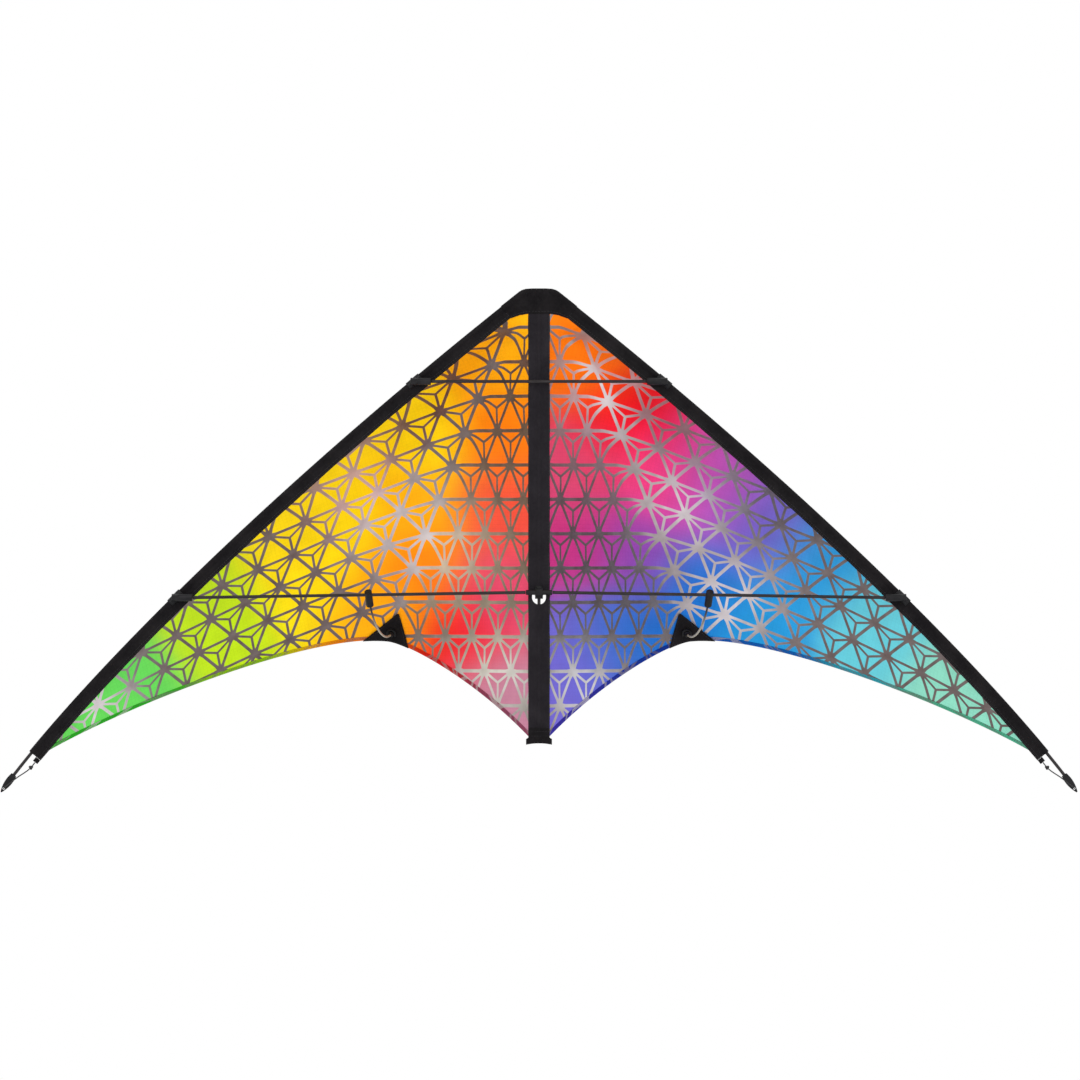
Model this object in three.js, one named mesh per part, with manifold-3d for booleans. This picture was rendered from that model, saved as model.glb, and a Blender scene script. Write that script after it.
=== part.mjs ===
// A two-line delta kite, standing on its tail: nose up (+Z), front face towards -Y, and the two
// sails bellied out behind it, towards +Y. The origin is on the spine's axis, level with the lower
// spreaders. Lengths are millimetres. Each wing is modelled once, on the right (+X), and mirrored.
import * as THREE from "three";
import { mergeVertices } from "three/addons/utils/BufferGeometryUtils.js";
import Module from "manifold-3d";

const wasm = await Module();
wasm.setup();

// ---------------------------------------------------------------- driving dimensions

// Overall size
const halfSpan = 672.5; // from the spine to the tip of a wing's nock
const noseHeight = 380; // the top of the nose patch
const tipDrop = 249.5; // the tip of a wing's nock, below the origin
const tailDrop = 181; // where the trailing edge meets the spine sleeve
const billow = 185; // how far a sail stands back at its standoff

// Rods and the room around them
const rodRadius = 2;
const standoffRodRadius = 1.25;
const cordRadius = 0.75;
const gap = 0.3; // between two pieces that meet or slide in each other
const clothHalf = 0.8; // half of a doubled sleeve's thickness, at its flat edge
const capWall = 0.7; // of the vinyl caps on the rods' ends
const capDepth = 12; // how far a rod goes into its cap

// Spine
const spineSleeveHalf = 13.2; // half the width of the spine sleeve
const seamGap = 0.8; // from the spine sleeve's edge to the line that a wing folds on
const nosePatchHeight = 32; // from the nose patch's lower edge to its top
const sleeveTuck = 4; // how far the spine sleeve goes up inside the nose patch
const tailPatchHeight = 18.4;
const tailPatchBelow = 9.4; // of the tail patch, below the trailing edge's corner
const tailFlareHalf = 16.2; // half the width of the tail patch at its bottom
const patchHalf = 4.5; // half the thickness of the nose and tail patches over the rod
const cutoutHalf = 8.6; // half the width of the sleeve's cut-out behind the centre tee
const cutoutTop = 9.5;
const cutoutDrop = 15; // the bottom of the half-moon, below the origin

// Leading edge: a bow from the nose to the wing tip, given by the slope it leaves and arrives with
const edgeStartX = 18.5;
const edgeStartDrop = 4.5; // the rod line's top, below the top of the nose patch
const departureSlope = THREE.MathUtils.degToRad(38.3);
const arrivalSlope = THREE.MathUtils.degToRad(54);
const departureHandle = 0.5; // share of the chord, which sets the bow
const arrivalHandle = 0.15;
const sleeveDepth = 15; // from the rod's axis to the sleeve's inner edge
const sleeveStop = 62; // the sleeve ends this far before the tip, along the edge
const rodTopInset = 4; // the rod's upper end, along the edge
const rodTipInset = 14; // the rod's lower end, before the tip
const sidePatchLength = 34; // of the nose patch, along the edge
const ferruleShare = 0.52; // where the rod's halves meet, as a share of the edge
const ferruleLength = 44;

// Spreaders and their fittings
const spreaderForward = 9; // the spreaders' axes, in front of the spine and leading-edge rods
const upperSpreaderHeight = 263.6;
const lowerSpreaderFall = 6.5; // a lower spreader's outer end, below its inner end
const connectorRadius = 5;
const connectorLength = 20; // along the leading edge
const armRadius = 4.6;
const armReach = 21; // from the leading-edge rod to the arm's mouth
const connectorPadHalf = 3.4; // half the side of the flat on a connector's front
const connectorPadForward = 5.2; // that flat, in front of the arm's axis
const teeRadius = 5;
const teeHalfHeight = 8;
const teeArmRadius = 3.2;
const teeHalfWidth = 16.5;
const teePadHalf = 4;
const teePadForward = 3.8; // the tee's front flat, in front of the spreaders' axis

// Standoff
const standoffX = 192.5; // where the sail's ridge reaches the trailing edge
const ridgeDrop = 62;
const holderOutset = 20.5; // of the holder on its spreader, outside the ridge's foot
const holderRadius = 4.75;
const holderAbove = 5.4; // of the holder, above the spreader's axis
const holderBelow = 17.5;
const footRadius = 3.5;
const footSeat = 0.97; // how far down the sail the foot sits: 1 is the trailing edge
const seatClear = 0.8; // between the seat's flat back and the patch round it
const seatPlate = 1; // the thickness of that flat back
const collarWall = 2;
const collarHeight = 3.5;

// Sail
const apexDrop = 20; // the point that a sail fans out from, below the top of the nose patch
const sailTopDrop = 33.2; // the sail's upper edge at the spine, below the top of the nose patch
const sailHalf = 0.4; // half the sail's thickness
const hemHalf = 0.7;
const hemWidth = 5.5;
const sailTipInset = 12; // the sail's outer corner, before the end of the leading-edge sleeve
const archDepth = 0.38; // depth of the belly higher up, as a share of the sail's width there
const archSkew = 0.87; // under 1 sets that belly nearer the spine
const archEnd = 0.3; // from here down the belly turns into the ridge that the standoff holds
const patchReachIn = 28.5; // from the ridge to the standoff patch's inner lower corner
const patchReachOut = 30.5;
const patchTop = 0.915; // its top corner, as a share of the way down the sail
const patchOffset = 2; // the middle of the patch's cloth, in front of the sail
const patchClothHalf = 0.35;

// Wing tip
const nockLength = 27;
const nockHalfWidth = 4.4;
const nockHalfThickness = 3.4;
const nockEyeInset = 5.5;
const nockEyeRadius = 1.5;
const tabLength = 6;
const tabHalfWidth = 3.5;
const tabHalfThickness = 1.1;
const cordOffset = 11; // the tension cord where it leaves the tab, inside the rod's axis
const knotAfterTab = 8;
const knotRadius = 2.9;

// ---------------------------------------------------------------- what follows from them

const hingeX = spineSleeveHalf + seamGap;
const seamX = hingeX + gap;
const apexHeight = noseHeight - apexDrop;
const ferruleInner = rodRadius + gap;
const ferruleOuter = ferruleInner + 0.5;
const capOuter = rodRadius + gap + capWall;
const sleeveBore = ferruleOuter + gap;
const sleeveOuter = sleeveBore + 0.5;
const spineBulge = rodRadius + gap + 0.6;
const bulgeFoot = spineBulge * 1.6;
const sidePatchOuter = sleeveOuter + 0.8;
const spineRodTop = noseHeight - 14;
const tailPatchBottom = -tailDrop - tailPatchBelow;
const spineRodBottom = tailPatchBottom + 6;
const noseLine = noseHeight - nosePatchHeight;
const tailLine = tailPatchBottom + tailPatchHeight;

// ---------------------------------------------------------------- making and cutting solids

function point(x, y, z) {
  return new THREE.Vector3(x, y, z);
}

// A geometry from points and triangles, turned inside out where it needs to be.
function closedGeometry(points, triangles) {
  let volume = 0;
  for (const [a, b, c] of triangles) {
    volume += points[a].dot(points[b].clone().cross(points[c]));
  }
  const faces = volume < 0 ? triangles.map(([a, b, c]) => [a, c, b]) : triangles;
  const geometry = new THREE.BufferGeometry().setFromPoints(points);
  geometry.setIndex(faces.flat());
  geometry.computeVertexNormals();
  return geometry;
}

function solidOf(geometry) {
  const bare = geometry.clone();
  bare.deleteAttribute("normal");
  bare.deleteAttribute("uv");
  const merged = mergeVertices(bare, 1e-4);
  const mesh = new wasm.Mesh({
    numProp: 3,
    vertProperties: merged.attributes.position.array,
    triVerts: new Uint32Array(merged.index.array),
  });
  return new wasm.Manifold(mesh);
}

function geometryOf(solid) {
  const mesh = solid.getMesh();
  const geometry = new THREE.BufferGeometry();
  geometry.setAttribute("position", new THREE.BufferAttribute(mesh.vertProperties, 3));
  geometry.setIndex(new THREE.BufferAttribute(mesh.triVerts, 1));
  geometry.computeVertexNormals();
  return geometry;
}

function join(...pieces) {
  return geometryOf(pieces.map(solidOf).reduce((whole, piece) => whole.add(piece)));
}

function cut(body, ...tools) {
  return geometryOf(tools.map(solidOf).reduce((left, tool) => left.subtract(tool), solidOf(body)));
}

function common(a, b) {
  return geometryOf(solidOf(a).intersect(solidOf(b)));
}

// A straight round bar from one point to another.
function bar(from, to, radius, sides = 16) {
  const along = to.clone().sub(from);
  const geometry = new THREE.CylinderGeometry(radius, radius, along.length(), sides);
  const turn = new THREE.Quaternion().setFromUnitVectors(point(0, 1, 0), along.clone().normalize());
  geometry.applyQuaternion(turn);
  geometry.translate(...from.clone().add(to).multiplyScalar(0.5).toArray());
  return geometry;
}

function block(low, high) {
  const size = high.clone().sub(low);
  const geometry = new THREE.BoxGeometry(size.x, size.y, size.z);
  geometry.translate(...low.clone().add(high).multiplyScalar(0.5).toArray());
  return geometry;
}

// A round bar that follows a curve.
function bentBar(curve, radius, sides, steps) {
  const section = new THREE.Shape();
  section.absarc(0, 0, radius, 0, 2 * Math.PI);
  return new THREE.ExtrudeGeometry(section, {
    extrudePath: curve,
    steps,
    curveSegments: sides,
    bevelEnabled: false,
  });
}

// A flat outline in the XZ plane, made as thick as asked on either side of y = 0.
function plate(outline, half) {
  const shape = new THREE.Shape(outline.map(([x, z]) => new THREE.Vector2(x, z)));
  const geometry = new THREE.ExtrudeGeometry(shape, { depth: 2 * half, bevelEnabled: false });
  geometry.translate(0, 0, -half);
  geometry.rotateX(Math.PI / 2);
  return geometry;
}

// An outline in the XY plane, raised from one height to another.
function column(outline, bottom, top) {
  const shape = new THREE.Shape(outline.map(([x, y]) => new THREE.Vector2(x, y)));
  const geometry = new THREE.ExtrudeGeometry(shape, { depth: top - bottom, bevelEnabled: false });
  geometry.translate(0, 0, bottom);
  return geometry;
}

// A solid through rings that have the same number of points each, closed at both ends.
function sweep(rings) {
  const count = rings[0].length;
  const triangles = [];
  for (let ring = 0; ring + 1 < rings.length; ring++) {
    for (let i = 0; i < count; i++) {
      const j = (i + 1) % count;
      const a = ring * count;
      const b = a + count;
      triangles.push([a + i, a + j, b + j], [a + i, b + j, b + i]);
    }
  }
  const last = (rings.length - 1) * count;
  const flat = rings[0].map((p, i) => i);
  for (const [a, b, c] of fan(flat)) {
    triangles.push([a, c, b], [last + a, last + b, last + c]);
  }
  return closedGeometry(rings.flat(), triangles);
}

// Triangles over a ring that is a mirror image about its middle: strips between facing points.
function fan(ring) {
  const triangles = [];
  let low = 0;
  let high = ring.length - 1;
  while (high - low > 1) {
    triangles.push([ring[low], ring[low + 1], ring[high]]);
    low += 1;
    if (high - low > 1) {
      triangles.push([ring[low], ring[high - 1], ring[high]]);
      high -= 1;
    }
  }
  return triangles;
}

// A thin sheet of cloth between two grids of points.
function sheet(front, back) {
  const rows = front.length;
  const columns = front[0].length;
  const behind = rows * columns;
  const at = (row, column) => row * columns + column;
  const triangles = [];
  for (let r = 0; r + 1 < rows; r++) {
    for (let c = 0; c + 1 < columns; c++) {
      const corners = [at(r, c), at(r, c + 1), at(r + 1, c + 1), at(r + 1, c)];
      const [p, q, s, t] = corners;
      triangles.push([p, q, s], [p, s, t]);
      triangles.push([behind + p, behind + s, behind + q], [behind + p, behind + t, behind + s]);
    }
  }
  const rim = [];
  for (let c = 0; c + 1 < columns; c++) rim.push(at(0, c));
  for (let r = 0; r + 1 < rows; r++) rim.push(at(r, columns - 1));
  for (let c = columns - 1; c > 0; c--) rim.push(at(rows - 1, c));
  for (let r = rows - 1; r > 0; r--) rim.push(at(r, 0));
  rim.forEach((a, i) => {
    const b = rim[(i + 1) % rim.length];
    triangles.push([a, behind + a, behind + b], [a, behind + b, b]);
  });
  return closedGeometry([...front.flat(), ...back.flat()], triangles);
}

// ---------------------------------------------------------------- the leading edge's line

const edgeStart = point(edgeStartX, 0, noseHeight - edgeStartDrop);
const edgeTip = point(halfSpan, 0, -tipDrop);
const edgeChord = edgeStart.distanceTo(edgeTip);

function downSlope(angle, length) {
  return point(Math.cos(angle) * length, 0, -Math.sin(angle) * length);
}

const edgeLine = new THREE.CubicBezierCurve3(
  edgeStart,
  edgeStart.clone().add(downSlope(departureSlope, departureHandle * edgeChord)),
  edgeTip.clone().sub(downSlope(arrivalSlope, arrivalHandle * edgeChord)),
  edgeTip,
);
const edgeLength = edgeLine.getLength();
const edgeStep = 34; // about the length of a straight facet along the edge
const sleeveEnd = edgeLength - sleeveStop;

// The place at a distance along the edge, out from the rod's axis in the wing's plane, and back.
function edgePoint(distance, outward = 0, back = 0) {
  const share = distance / edgeLength;
  const along = edgeLine.getTangentAt(share);
  const across = point(-along.z, 0, along.x);
  return edgeLine.getPointAt(share).addScaledVector(across, outward).add(point(0, back, 0));
}

function edgeDistanceAtHeight(height) {
  let low = 0;
  let high = edgeLength;
  for (let i = 0; i < 40; i++) {
    const middle = (low + high) / 2;
    if (edgePoint(middle).z > height) low = middle;
    else high = middle;
  }
  return low;
}

// A stretch of the edge as a curve of its own.
function edgeStretch(from, to) {
  const steps = Math.max(1, Math.round((to - from) / edgeStep));
  const places = [];
  for (let i = 0; i <= steps; i++) places.push(edgePoint(from + ((to - from) * i) / steps));
  return { curve: new THREE.CatmullRomCurve3(places), steps };
}

function edgeBar(from, to, radius, sides = 4) {
  const { curve, steps } = edgeStretch(from, to);
  return bentBar(curve, radius, sides, steps);
}

// ---------------------------------------------------------------- the sail's surface

const apex = point(seamX, 0, apexHeight);
const tailCorner = point(seamX, 0, -tailDrop);
const ridgeFoot = point(standoffX, billow, -ridgeDrop);
const sailCorner = edgePoint(sleeveEnd - sailTipInset, -sleeveDepth - 3 * gap);

// A point at its own share of the way from one corner to the other, along each axis.
function between(from, to, x, y, z) {
  return point(
    THREE.MathUtils.lerp(from.x, to.x, x),
    THREE.MathUtils.lerp(from.y, to.y, y),
    THREE.MathUtils.lerp(from.z, to.z, z),
  );
}

// The trailing edge: one scallop from the tail to the standoff, and one from there to the tip.
const trailingEdge = new THREE.CurvePath();
trailingEdge.add(
  new THREE.CubicBezierCurve3(
    tailCorner,
    between(tailCorner, ridgeFoot, 0.37, 0.39, 0.58),
    between(tailCorner, ridgeFoot, 0.84, 0.99, 0.97),
    ridgeFoot,
  ),
);
trailingEdge.add(
  new THREE.CubicBezierCurve3(
    ridgeFoot,
    between(ridgeFoot, sailCorner, 0.23, 0.04, -0.07),
    between(ridgeFoot, sailCorner, 0.77, 0.73, 0.59),
    sailCorner,
  ),
);
const [innerScallop, outerScallop] = trailingEdge.getCurveLengths();
const ridgeShare = innerScallop / outerScallop;
const sailTop = (sailTopDrop - apexDrop) / (apexHeight + tailDrop);

// The sleeve's inner edge, where the sail's outer edge is sewn, from the nose patch to the corner.
function outerSeam(down) {
  const from = sidePatchLength + 2;
  const to = sleeveEnd - sailTipInset;
  const share = (down - sailTop) / (1 - sailTop);
  return edgePoint(from + (to - from) * share, -sleeveDepth - 3 * gap);
}

// The sail's middle surface. across runs from the spine (0) to the leading edge (1), and down from
// the nose to the trailing edge (1). Every line down the cloth fans out from the apex. The outer
// lines bow with the leading edge, and the belly is an arch above and a ridge below.
function sailPoint(across, down) {
  const foot = trailingEdge.getPoint(across);
  const place = apex.clone().lerp(foot, down);
  const straight = apex.clone().lerp(sailCorner, down);
  const seam = outerSeam(down);
  place.addScaledVector(seam.clone().sub(straight), across ** 3);
  const width = seam.x - seamX;
  const share = THREE.MathUtils.clamp((place.x - seamX) / width, 0, 1);
  const arch = archDepth * width * Math.sin(Math.PI * share ** archSkew);
  place.y = THREE.MathUtils.lerp(arch, place.y, THREE.MathUtils.smoothstep(down, archEnd, 1));
  return place;
}

// The direction that the sail's front faces.
function sailFacing(across, down) {
  const step = 0.004;
  const a = Math.min(across, 1 - step);
  const d = Math.min(down, 1 - step);
  const here = sailPoint(a, d);
  const sideways = sailPoint(a + step, d).sub(here);
  const downwards = sailPoint(a, d + step).sub(here);
  return downwards.cross(sideways).normalize();
}

function sailOffset(across, down, forward) {
  return sailPoint(across, down).addScaledVector(sailFacing(across, down), forward);
}

// How far down the hem begins, so that the hem is as wide everywhere.
function hemTop(across) {
  const step = 0.004;
  const a = THREE.MathUtils.clamp(across, step, 1 - step);
  const foot = trailingEdge.getPoint(a);
  const along = trailingEdge.getPoint(a + step).sub(trailingEdge.getPoint(a - step)).normalize();
  const ray = foot.clone().sub(apex);
  const slant = ray.clone().normalize().cross(along).length();
  return 1 - hemWidth / (slant * ray.length());
}

// Stations across the sail: closer together near the ridge, where the cloth turns most.
function acrossStations(innerSteps, outerSteps) {
  const stations = [];
  for (let i = 0; i < innerSteps; i++) stations.push(ridgeShare * (1 - (1 - i / innerSteps) ** 1.4));
  for (let i = 0; i <= outerSteps; i++) {
    stations.push(ridgeShare + (1 - ridgeShare) * (i / outerSteps) ** 1.3);
  }
  return stations;
}

// A sheet that follows the sail between two edges, each given as a share of the way down.
function sailSheet(stations, top, bottom, rows, half, forward = 0) {
  const grid = (offset) =>
    stations.map((across) => {
      const line = [];
      for (let r = 0; r <= rows; r++) {
        const down = THREE.MathUtils.lerp(top(across), bottom(across), r / rows);
        line.push(sailOffset(across, down, offset));
      }
      return line;
    });
  return sheet(grid(forward + half), grid(forward - half));
}

// ---------------------------------------------------------------- finishes

function finish(color, roughness, metalness = 0) {
  return new THREE.MeshStandardMaterial({ color, roughness, metalness });
}

const finishes = {
  polyester: () => finish(0x2a262c, 0.85),
  webbing: () => finish(0x1f1d1f, 0.9),
  fibreglass: () => finish(0x23201f, 0.45),
  vinyl: () => finish(0x141416, 0.55),
  ferrule: () => finish(0xb9bcc0, 0.35, 1),
  cord: () => finish(0x161616, 0.8),
  ripstopLeft: () => finish(0xf3a51c, 0.5, 0.2),
  ripstopRight: () => finish(0x8e6bd8, 0.5, 0.2),
};

function piece(name, geometry, material) {
  const mesh = new THREE.Mesh(geometry, material);
  mesh.name = name;
  return mesh;
}

// ---------------------------------------------------------------- the spine

function spineRod() {
  return bar(point(0, 0, spineRodBottom), point(0, 0, spineRodTop), rodRadius);
}

// A closed vinyl cap over a rod's end, opening downwards when turned is 1 and upwards when -1.
function spineCap(end, turned) {
  const closed = end + turned * (gap + capWall);
  const mouth = end - turned * capDepth;
  const shell = bar(point(0, 0, mouth), point(0, 0, closed), capOuter);
  const room = bar(point(0, 0, mouth - turned), point(0, 0, end + turned * gap), ferruleInner);
  return cut(shell, room);
}

// The flat sleeve, with a round bulge over the rod and the rod's room inside it.
function spineSleeve() {
  const rise = spineBulge - clothHalf;
  const half = [
    [spineSleeveHalf, clothHalf],
    [bulgeFoot, clothHalf],
    [spineBulge * 0.75, clothHalf + rise * 0.62],
    [spineBulge * 0.35, clothHalf + rise * 0.93],
  ];
  const top = [...half, ...half.toReversed().map(([x, y]) => [-x, y])];
  const outline = [...top, ...top.toReversed().map(([x, y]) => [x, -y])];
  const bottom = tailLine + gap;
  const head = noseLine + sleeveTuck;
  const room = bar(point(0, 0, bottom - 1), point(0, 0, head + 1), ferruleInner);
  const moonLevel = cutoutHalf - cutoutDrop;
  const front = spineBulge + 1;
  const window = block(
    point(-cutoutHalf, -front, moonLevel),
    point(cutoutHalf, front, cutoutTop),
  );
  const moon = bar(point(0, -front, moonLevel), point(0, front, moonLevel), cutoutHalf, 24);
  return cut(column(outline, bottom, head), room, join(window, moon));
}

// An end patch is thick over the rod and thin at its sides, so that a wing can fold past it.
function patchColumn(half, bottom, top) {
  const shoulder = capOuter + gap + 2;
  const outline = [
    [half, clothHalf],
    [shoulder, patchHalf],
    [-shoulder, patchHalf],
    [-half, clothHalf],
    [-half, -clothHalf],
    [-shoulder, -patchHalf],
    [shoulder, -patchHalf],
    [half, -clothHalf],
  ];
  return column(outline, bottom, top);
}

function nosePatch() {
  const half = spineSleeveHalf;
  const outline = [
    [-half, noseLine],
    [half, noseLine],
    [half, noseHeight - 2.4],
    [half / 2, noseHeight],
    [-half / 2, noseHeight],
    [-half, noseHeight - 2.4],
  ];
  const body = common(plate(outline, patchHalf + 1), patchColumn(half, noseLine, noseHeight));
  const pocket = bar(
    point(0, 0, noseLine - 1),
    point(0, 0, spineRodTop + 2 * gap + capWall),
    capOuter + gap,
  );
  const sleeveTop = noseLine + sleeveTuck + gap;
  const slot = block(
    point(-half - 1, -clothHalf - gap, noseLine - 1),
    point(half + 1, clothHalf + gap, sleeveTop),
  );
  const bulgeHalf = bulgeFoot + gap;
  const bulgeRoom = block(
    point(-bulgeHalf, -spineBulge - gap, noseLine - 1),
    point(bulgeHalf, spineBulge + gap, sleeveTop),
  );
  return cut(body, pocket, slot, bulgeRoom);
}

function tailPatch() {
  const bottom = tailPatchBottom;
  const flareTop = -tailDrop - 2 * gap;
  const outline = [
    [-spineSleeveHalf, tailLine],
    [-spineSleeveHalf, flareTop],
    [-tailFlareHalf, flareTop - 1],
    [-tailFlareHalf, bottom],
    [0, bottom + 1.7],
    [tailFlareHalf, bottom],
    [tailFlareHalf, flareTop - 1],
    [spineSleeveHalf, flareTop],
    [spineSleeveHalf, tailLine],
  ];
  const body = common(plate(outline, patchHalf + 1), patchColumn(tailFlareHalf, bottom, tailLine));
  const pocket = bar(
    point(0, 0, spineRodBottom - 2 * gap - capWall),
    point(0, 0, tailLine + 1),
    capOuter + gap,
  );
  return cut(body, pocket);
}

// The moulded cross: a tube on the spine and two arms in front of it, which the spreaders meet.
function centreTee() {
  const y = -spreaderForward;
  const tube = bar(point(0, 0, -teeHalfHeight), point(0, 0, teeHalfHeight), teeRadius, 24);
  const arms = bar(point(-teeHalfWidth, y, 0), point(teeHalfWidth, y, 0), teeArmRadius, 20);
  const web = block(
    point(-teeRadius, y, -teeRadius),
    point(teeRadius, 0, teeRadius),
  );
  const pad = block(
    point(-teePadHalf, y - teePadForward, -teePadHalf),
    point(teePadHalf, y, teePadHalf),
  );
  const height = teeHalfHeight + 1;
  return cut(
    join(tube, arms, web, pad),
    bar(point(0, 0, -height), point(0, 0, height), ferruleInner),
  );
}

// ---------------------------------------------------------------- the leading edge's pieces

const ferruleAt = ferruleShare * edgeLength;
const upperConnectorAt = edgeDistanceAtHeight(upperSpreaderHeight);
const lowerConnectorAt = edgeDistanceAtHeight(-lowerSpreaderFall);

function edgeRodUpper() {
  return edgeBar(rodTopInset, ferruleAt - gap, rodRadius);
}

function edgeRodLower() {
  return edgeBar(ferruleAt + gap, edgeLength - rodTipInset, rodRadius);
}

function edgeFerrule() {
  const half = ferruleLength / 2;
  const tube = edgeBar(ferruleAt - half, ferruleAt + half, ferruleOuter, 6);
  return cut(tube, edgeBar(ferruleAt - half - 2, ferruleAt + half + 2, ferruleInner));
}

function edgeCap() {
  const top = rodTopInset - gap - capWall;
  const shell = edgeBar(top, rodTopInset + capDepth, capOuter, 6);
  return cut(shell, edgeBar(rodTopInset - gap, rodTopInset + capDepth + 2, ferruleInner));
}

// A tape folded round the rod: a round bead over the rod, thinning to two flat layers.
function edgeSleeve() {
  const from = sidePatchLength + gap;
  const back = [
    [-sleeveDepth, clothHalf],
    [-sleeveOuter * 1.7, clothHalf],
    [-sleeveOuter * 0.8, sleeveOuter * 0.72],
    [-sleeveOuter * 0.3, sleeveOuter * 0.95],
    [sleeveOuter * 0.3, sleeveOuter * 0.95],
    [sleeveOuter * 0.8, sleeveOuter * 0.6],
    [sleeveOuter, 0],
  ];
  const front = back.slice(0, -1).toReversed().map(([out, y]) => [out, -y]);
  const section = [...back, ...front];
  const steps = Math.round((sleeveEnd - from) / edgeStep);
  const rings = [];
  for (let i = 0; i <= steps; i++) {
    const distance = from + ((sleeveEnd - from) * i) / steps;
    rings.push(section.map(([out, y]) => edgePoint(distance, out, y)));
  }
  const room = edgeBar(from - 2, sleeveEnd + 2, sleeveBore, 5);
  return cut(sweep(rings), room, connectorRoom(upperConnectorAt), connectorRoom(lowerConnectorAt));
}

// The cut-out in the sleeve that a connector sits in.
function connectorRoom(distance) {
  const half = connectorLength / 2 + 1.5;
  const inner = -connectorRadius - 2;
  const outer = sleeveOuter + 2;
  const thick = sleeveOuter + 1;
  const corners = [
    [inner, -thick],
    [outer, -thick],
    [outer, thick],
    [inner, thick],
  ];
  return sweep([
    corners.map(([out, y]) => edgePoint(distance - half, out, y)),
    corners.map(([out, y]) => edgePoint(distance + half, out, y)),
  ]);
}

// A moulded connector: a tube on the leading-edge rod, and an arm in front that a spreader meets.
function connector(distance) {
  const half = connectorLength / 2;
  const centre = edgePoint(distance);
  const y = -spreaderForward;
  const body = bar(edgePoint(distance - half), edgePoint(distance + half), connectorRadius, 20);
  const arm = bar(
    point(centre.x - armReach, y, centre.z),
    point(centre.x + armRadius, y, centre.z),
    armRadius,
    20,
  );
  const web = block(
    point(centre.x - armRadius, y, centre.z - armRadius),
    point(centre.x + armRadius, 0, centre.z + armRadius),
  );
  const pad = block(
    point(centre.x - connectorPadHalf, y - connectorPadForward, centre.z - connectorPadHalf),
    point(centre.x + connectorPadHalf, y, centre.z + connectorPadHalf),
  );
  const room = edgeBar(distance - half - 5, distance + half + 5, ferruleInner);
  return cut(join(body, arm, web, pad), room);
}

// The nose patch's share of a wing: thin cloth with a round bead over the rod's capped end.
function sidePatch() {
  const corner = edgePoint(rodTopInset, sidePatchOuter);
  const outerEnd = edgePoint(sidePatchLength, sidePatchOuter);
  const innerEnd = edgePoint(sidePatchLength, -sleeveDepth - gap);
  const outline = [
    [seamX, noseLine],
    [innerEnd.x, innerEnd.z],
    [outerEnd.x, outerEnd.z],
    [corner.x, corner.z],
    [seamX, noseHeight - 2.6],
  ];
  const bead = edgeBar(rodTopInset - 3, sidePatchLength, sidePatchOuter, 6);
  const capRoom = edgeBar(
    rodTopInset - 2 * gap - capWall,
    rodTopInset + capDepth + gap,
    capOuter + gap,
    6,
  );
  const rodRoom = edgeBar(rodTopInset, sidePatchLength + 2, ferruleInner);
  return cut(join(plate(outline, clothHalf), bead), capRoom, rodRoom);
}

// ---------------------------------------------------------------- the sail's pieces

function sailCloth() {
  const bottom = (across) => hemTop(across) - gap / (apexHeight + tailDrop);
  return sailSheet(acrossStations(9, 13), () => sailTop, bottom, 12, sailHalf);
}

function sailHem() {
  return sailSheet(acrossStations(9, 13), hemTop, () => 1, 1, hemHalf);
}

// The share across the sail at which the trailing edge reaches a distance from the spine.
function acrossAt(x) {
  let low = 0;
  let high = 1;
  for (let i = 0; i < 40; i++) {
    const middle = (low + high) / 2;
    if (trailingEdge.getPoint(middle).x < x) low = middle;
    else high = middle;
  }
  return low;
}

// The triangle of heavier cloth on the front of the sail, where the standoff bears.
function standoffPatch() {
  const inner = acrossAt(standoffX - patchReachIn);
  const outer = acrossAt(standoffX + patchReachOut);
  const blunt = 0.96;
  const columns = 8;
  const rows = 4;
  const grid = (offset) => {
    const lines = [];
    for (let c = 0; c <= columns; c++) {
      const foot = THREE.MathUtils.lerp(inner, outer, c / columns);
      const line = [];
      for (let r = 0; r <= rows; r++) {
        const share = (blunt * r) / rows;
        const across = THREE.MathUtils.lerp(foot, ridgeShare, share);
        line.push(sailOffset(across, THREE.MathUtils.lerp(1, patchTop, share), offset));
      }
      lines.push(line);
    }
    return lines;
  };
  return sheet(grid(patchOffset + patchClothHalf), grid(patchOffset - patchClothHalf));
}

const seatFacing = sailFacing(ridgeShare, footSeat);
const collarInner = footRadius + 2 * gap;
const collarOuter = collarInner + collarWall;
const seatReach = Math.hypot(collarOuter, footRadius);
const riseSteps = 12; // places that patchRise tries to each side of the seat
const riseStep = 0.003; // between them, as a share of the sail

// How far the patch comes forward of the sail's middle line round the seat, in the hollow ridge.
function patchRise() {
  const middle = sailPoint(ridgeShare, footSeat);
  let rise = 0;
  for (let i = -riseSteps; i <= riseSteps; i++) {
    for (let j = -riseSteps; j <= riseSteps; j++) {
      const across = ridgeShare + i * riseStep;
      const down = Math.min(1, footSeat + j * riseStep);
      const front = sailOffset(across, down, patchOffset + patchClothHalf);
      const away = front.sub(middle);
      const forward = away.dot(seatFacing);
      if (away.addScaledVector(seatFacing, -forward).length() < seatReach) {
        rise = Math.max(rise, forward);
      }
    }
  }
  return rise;
}

const seatBack = patchRise() + seatClear;
const footCentre = sailOffset(ridgeShare, footSeat, seatBack + seatPlate + gap + footRadius);

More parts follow.
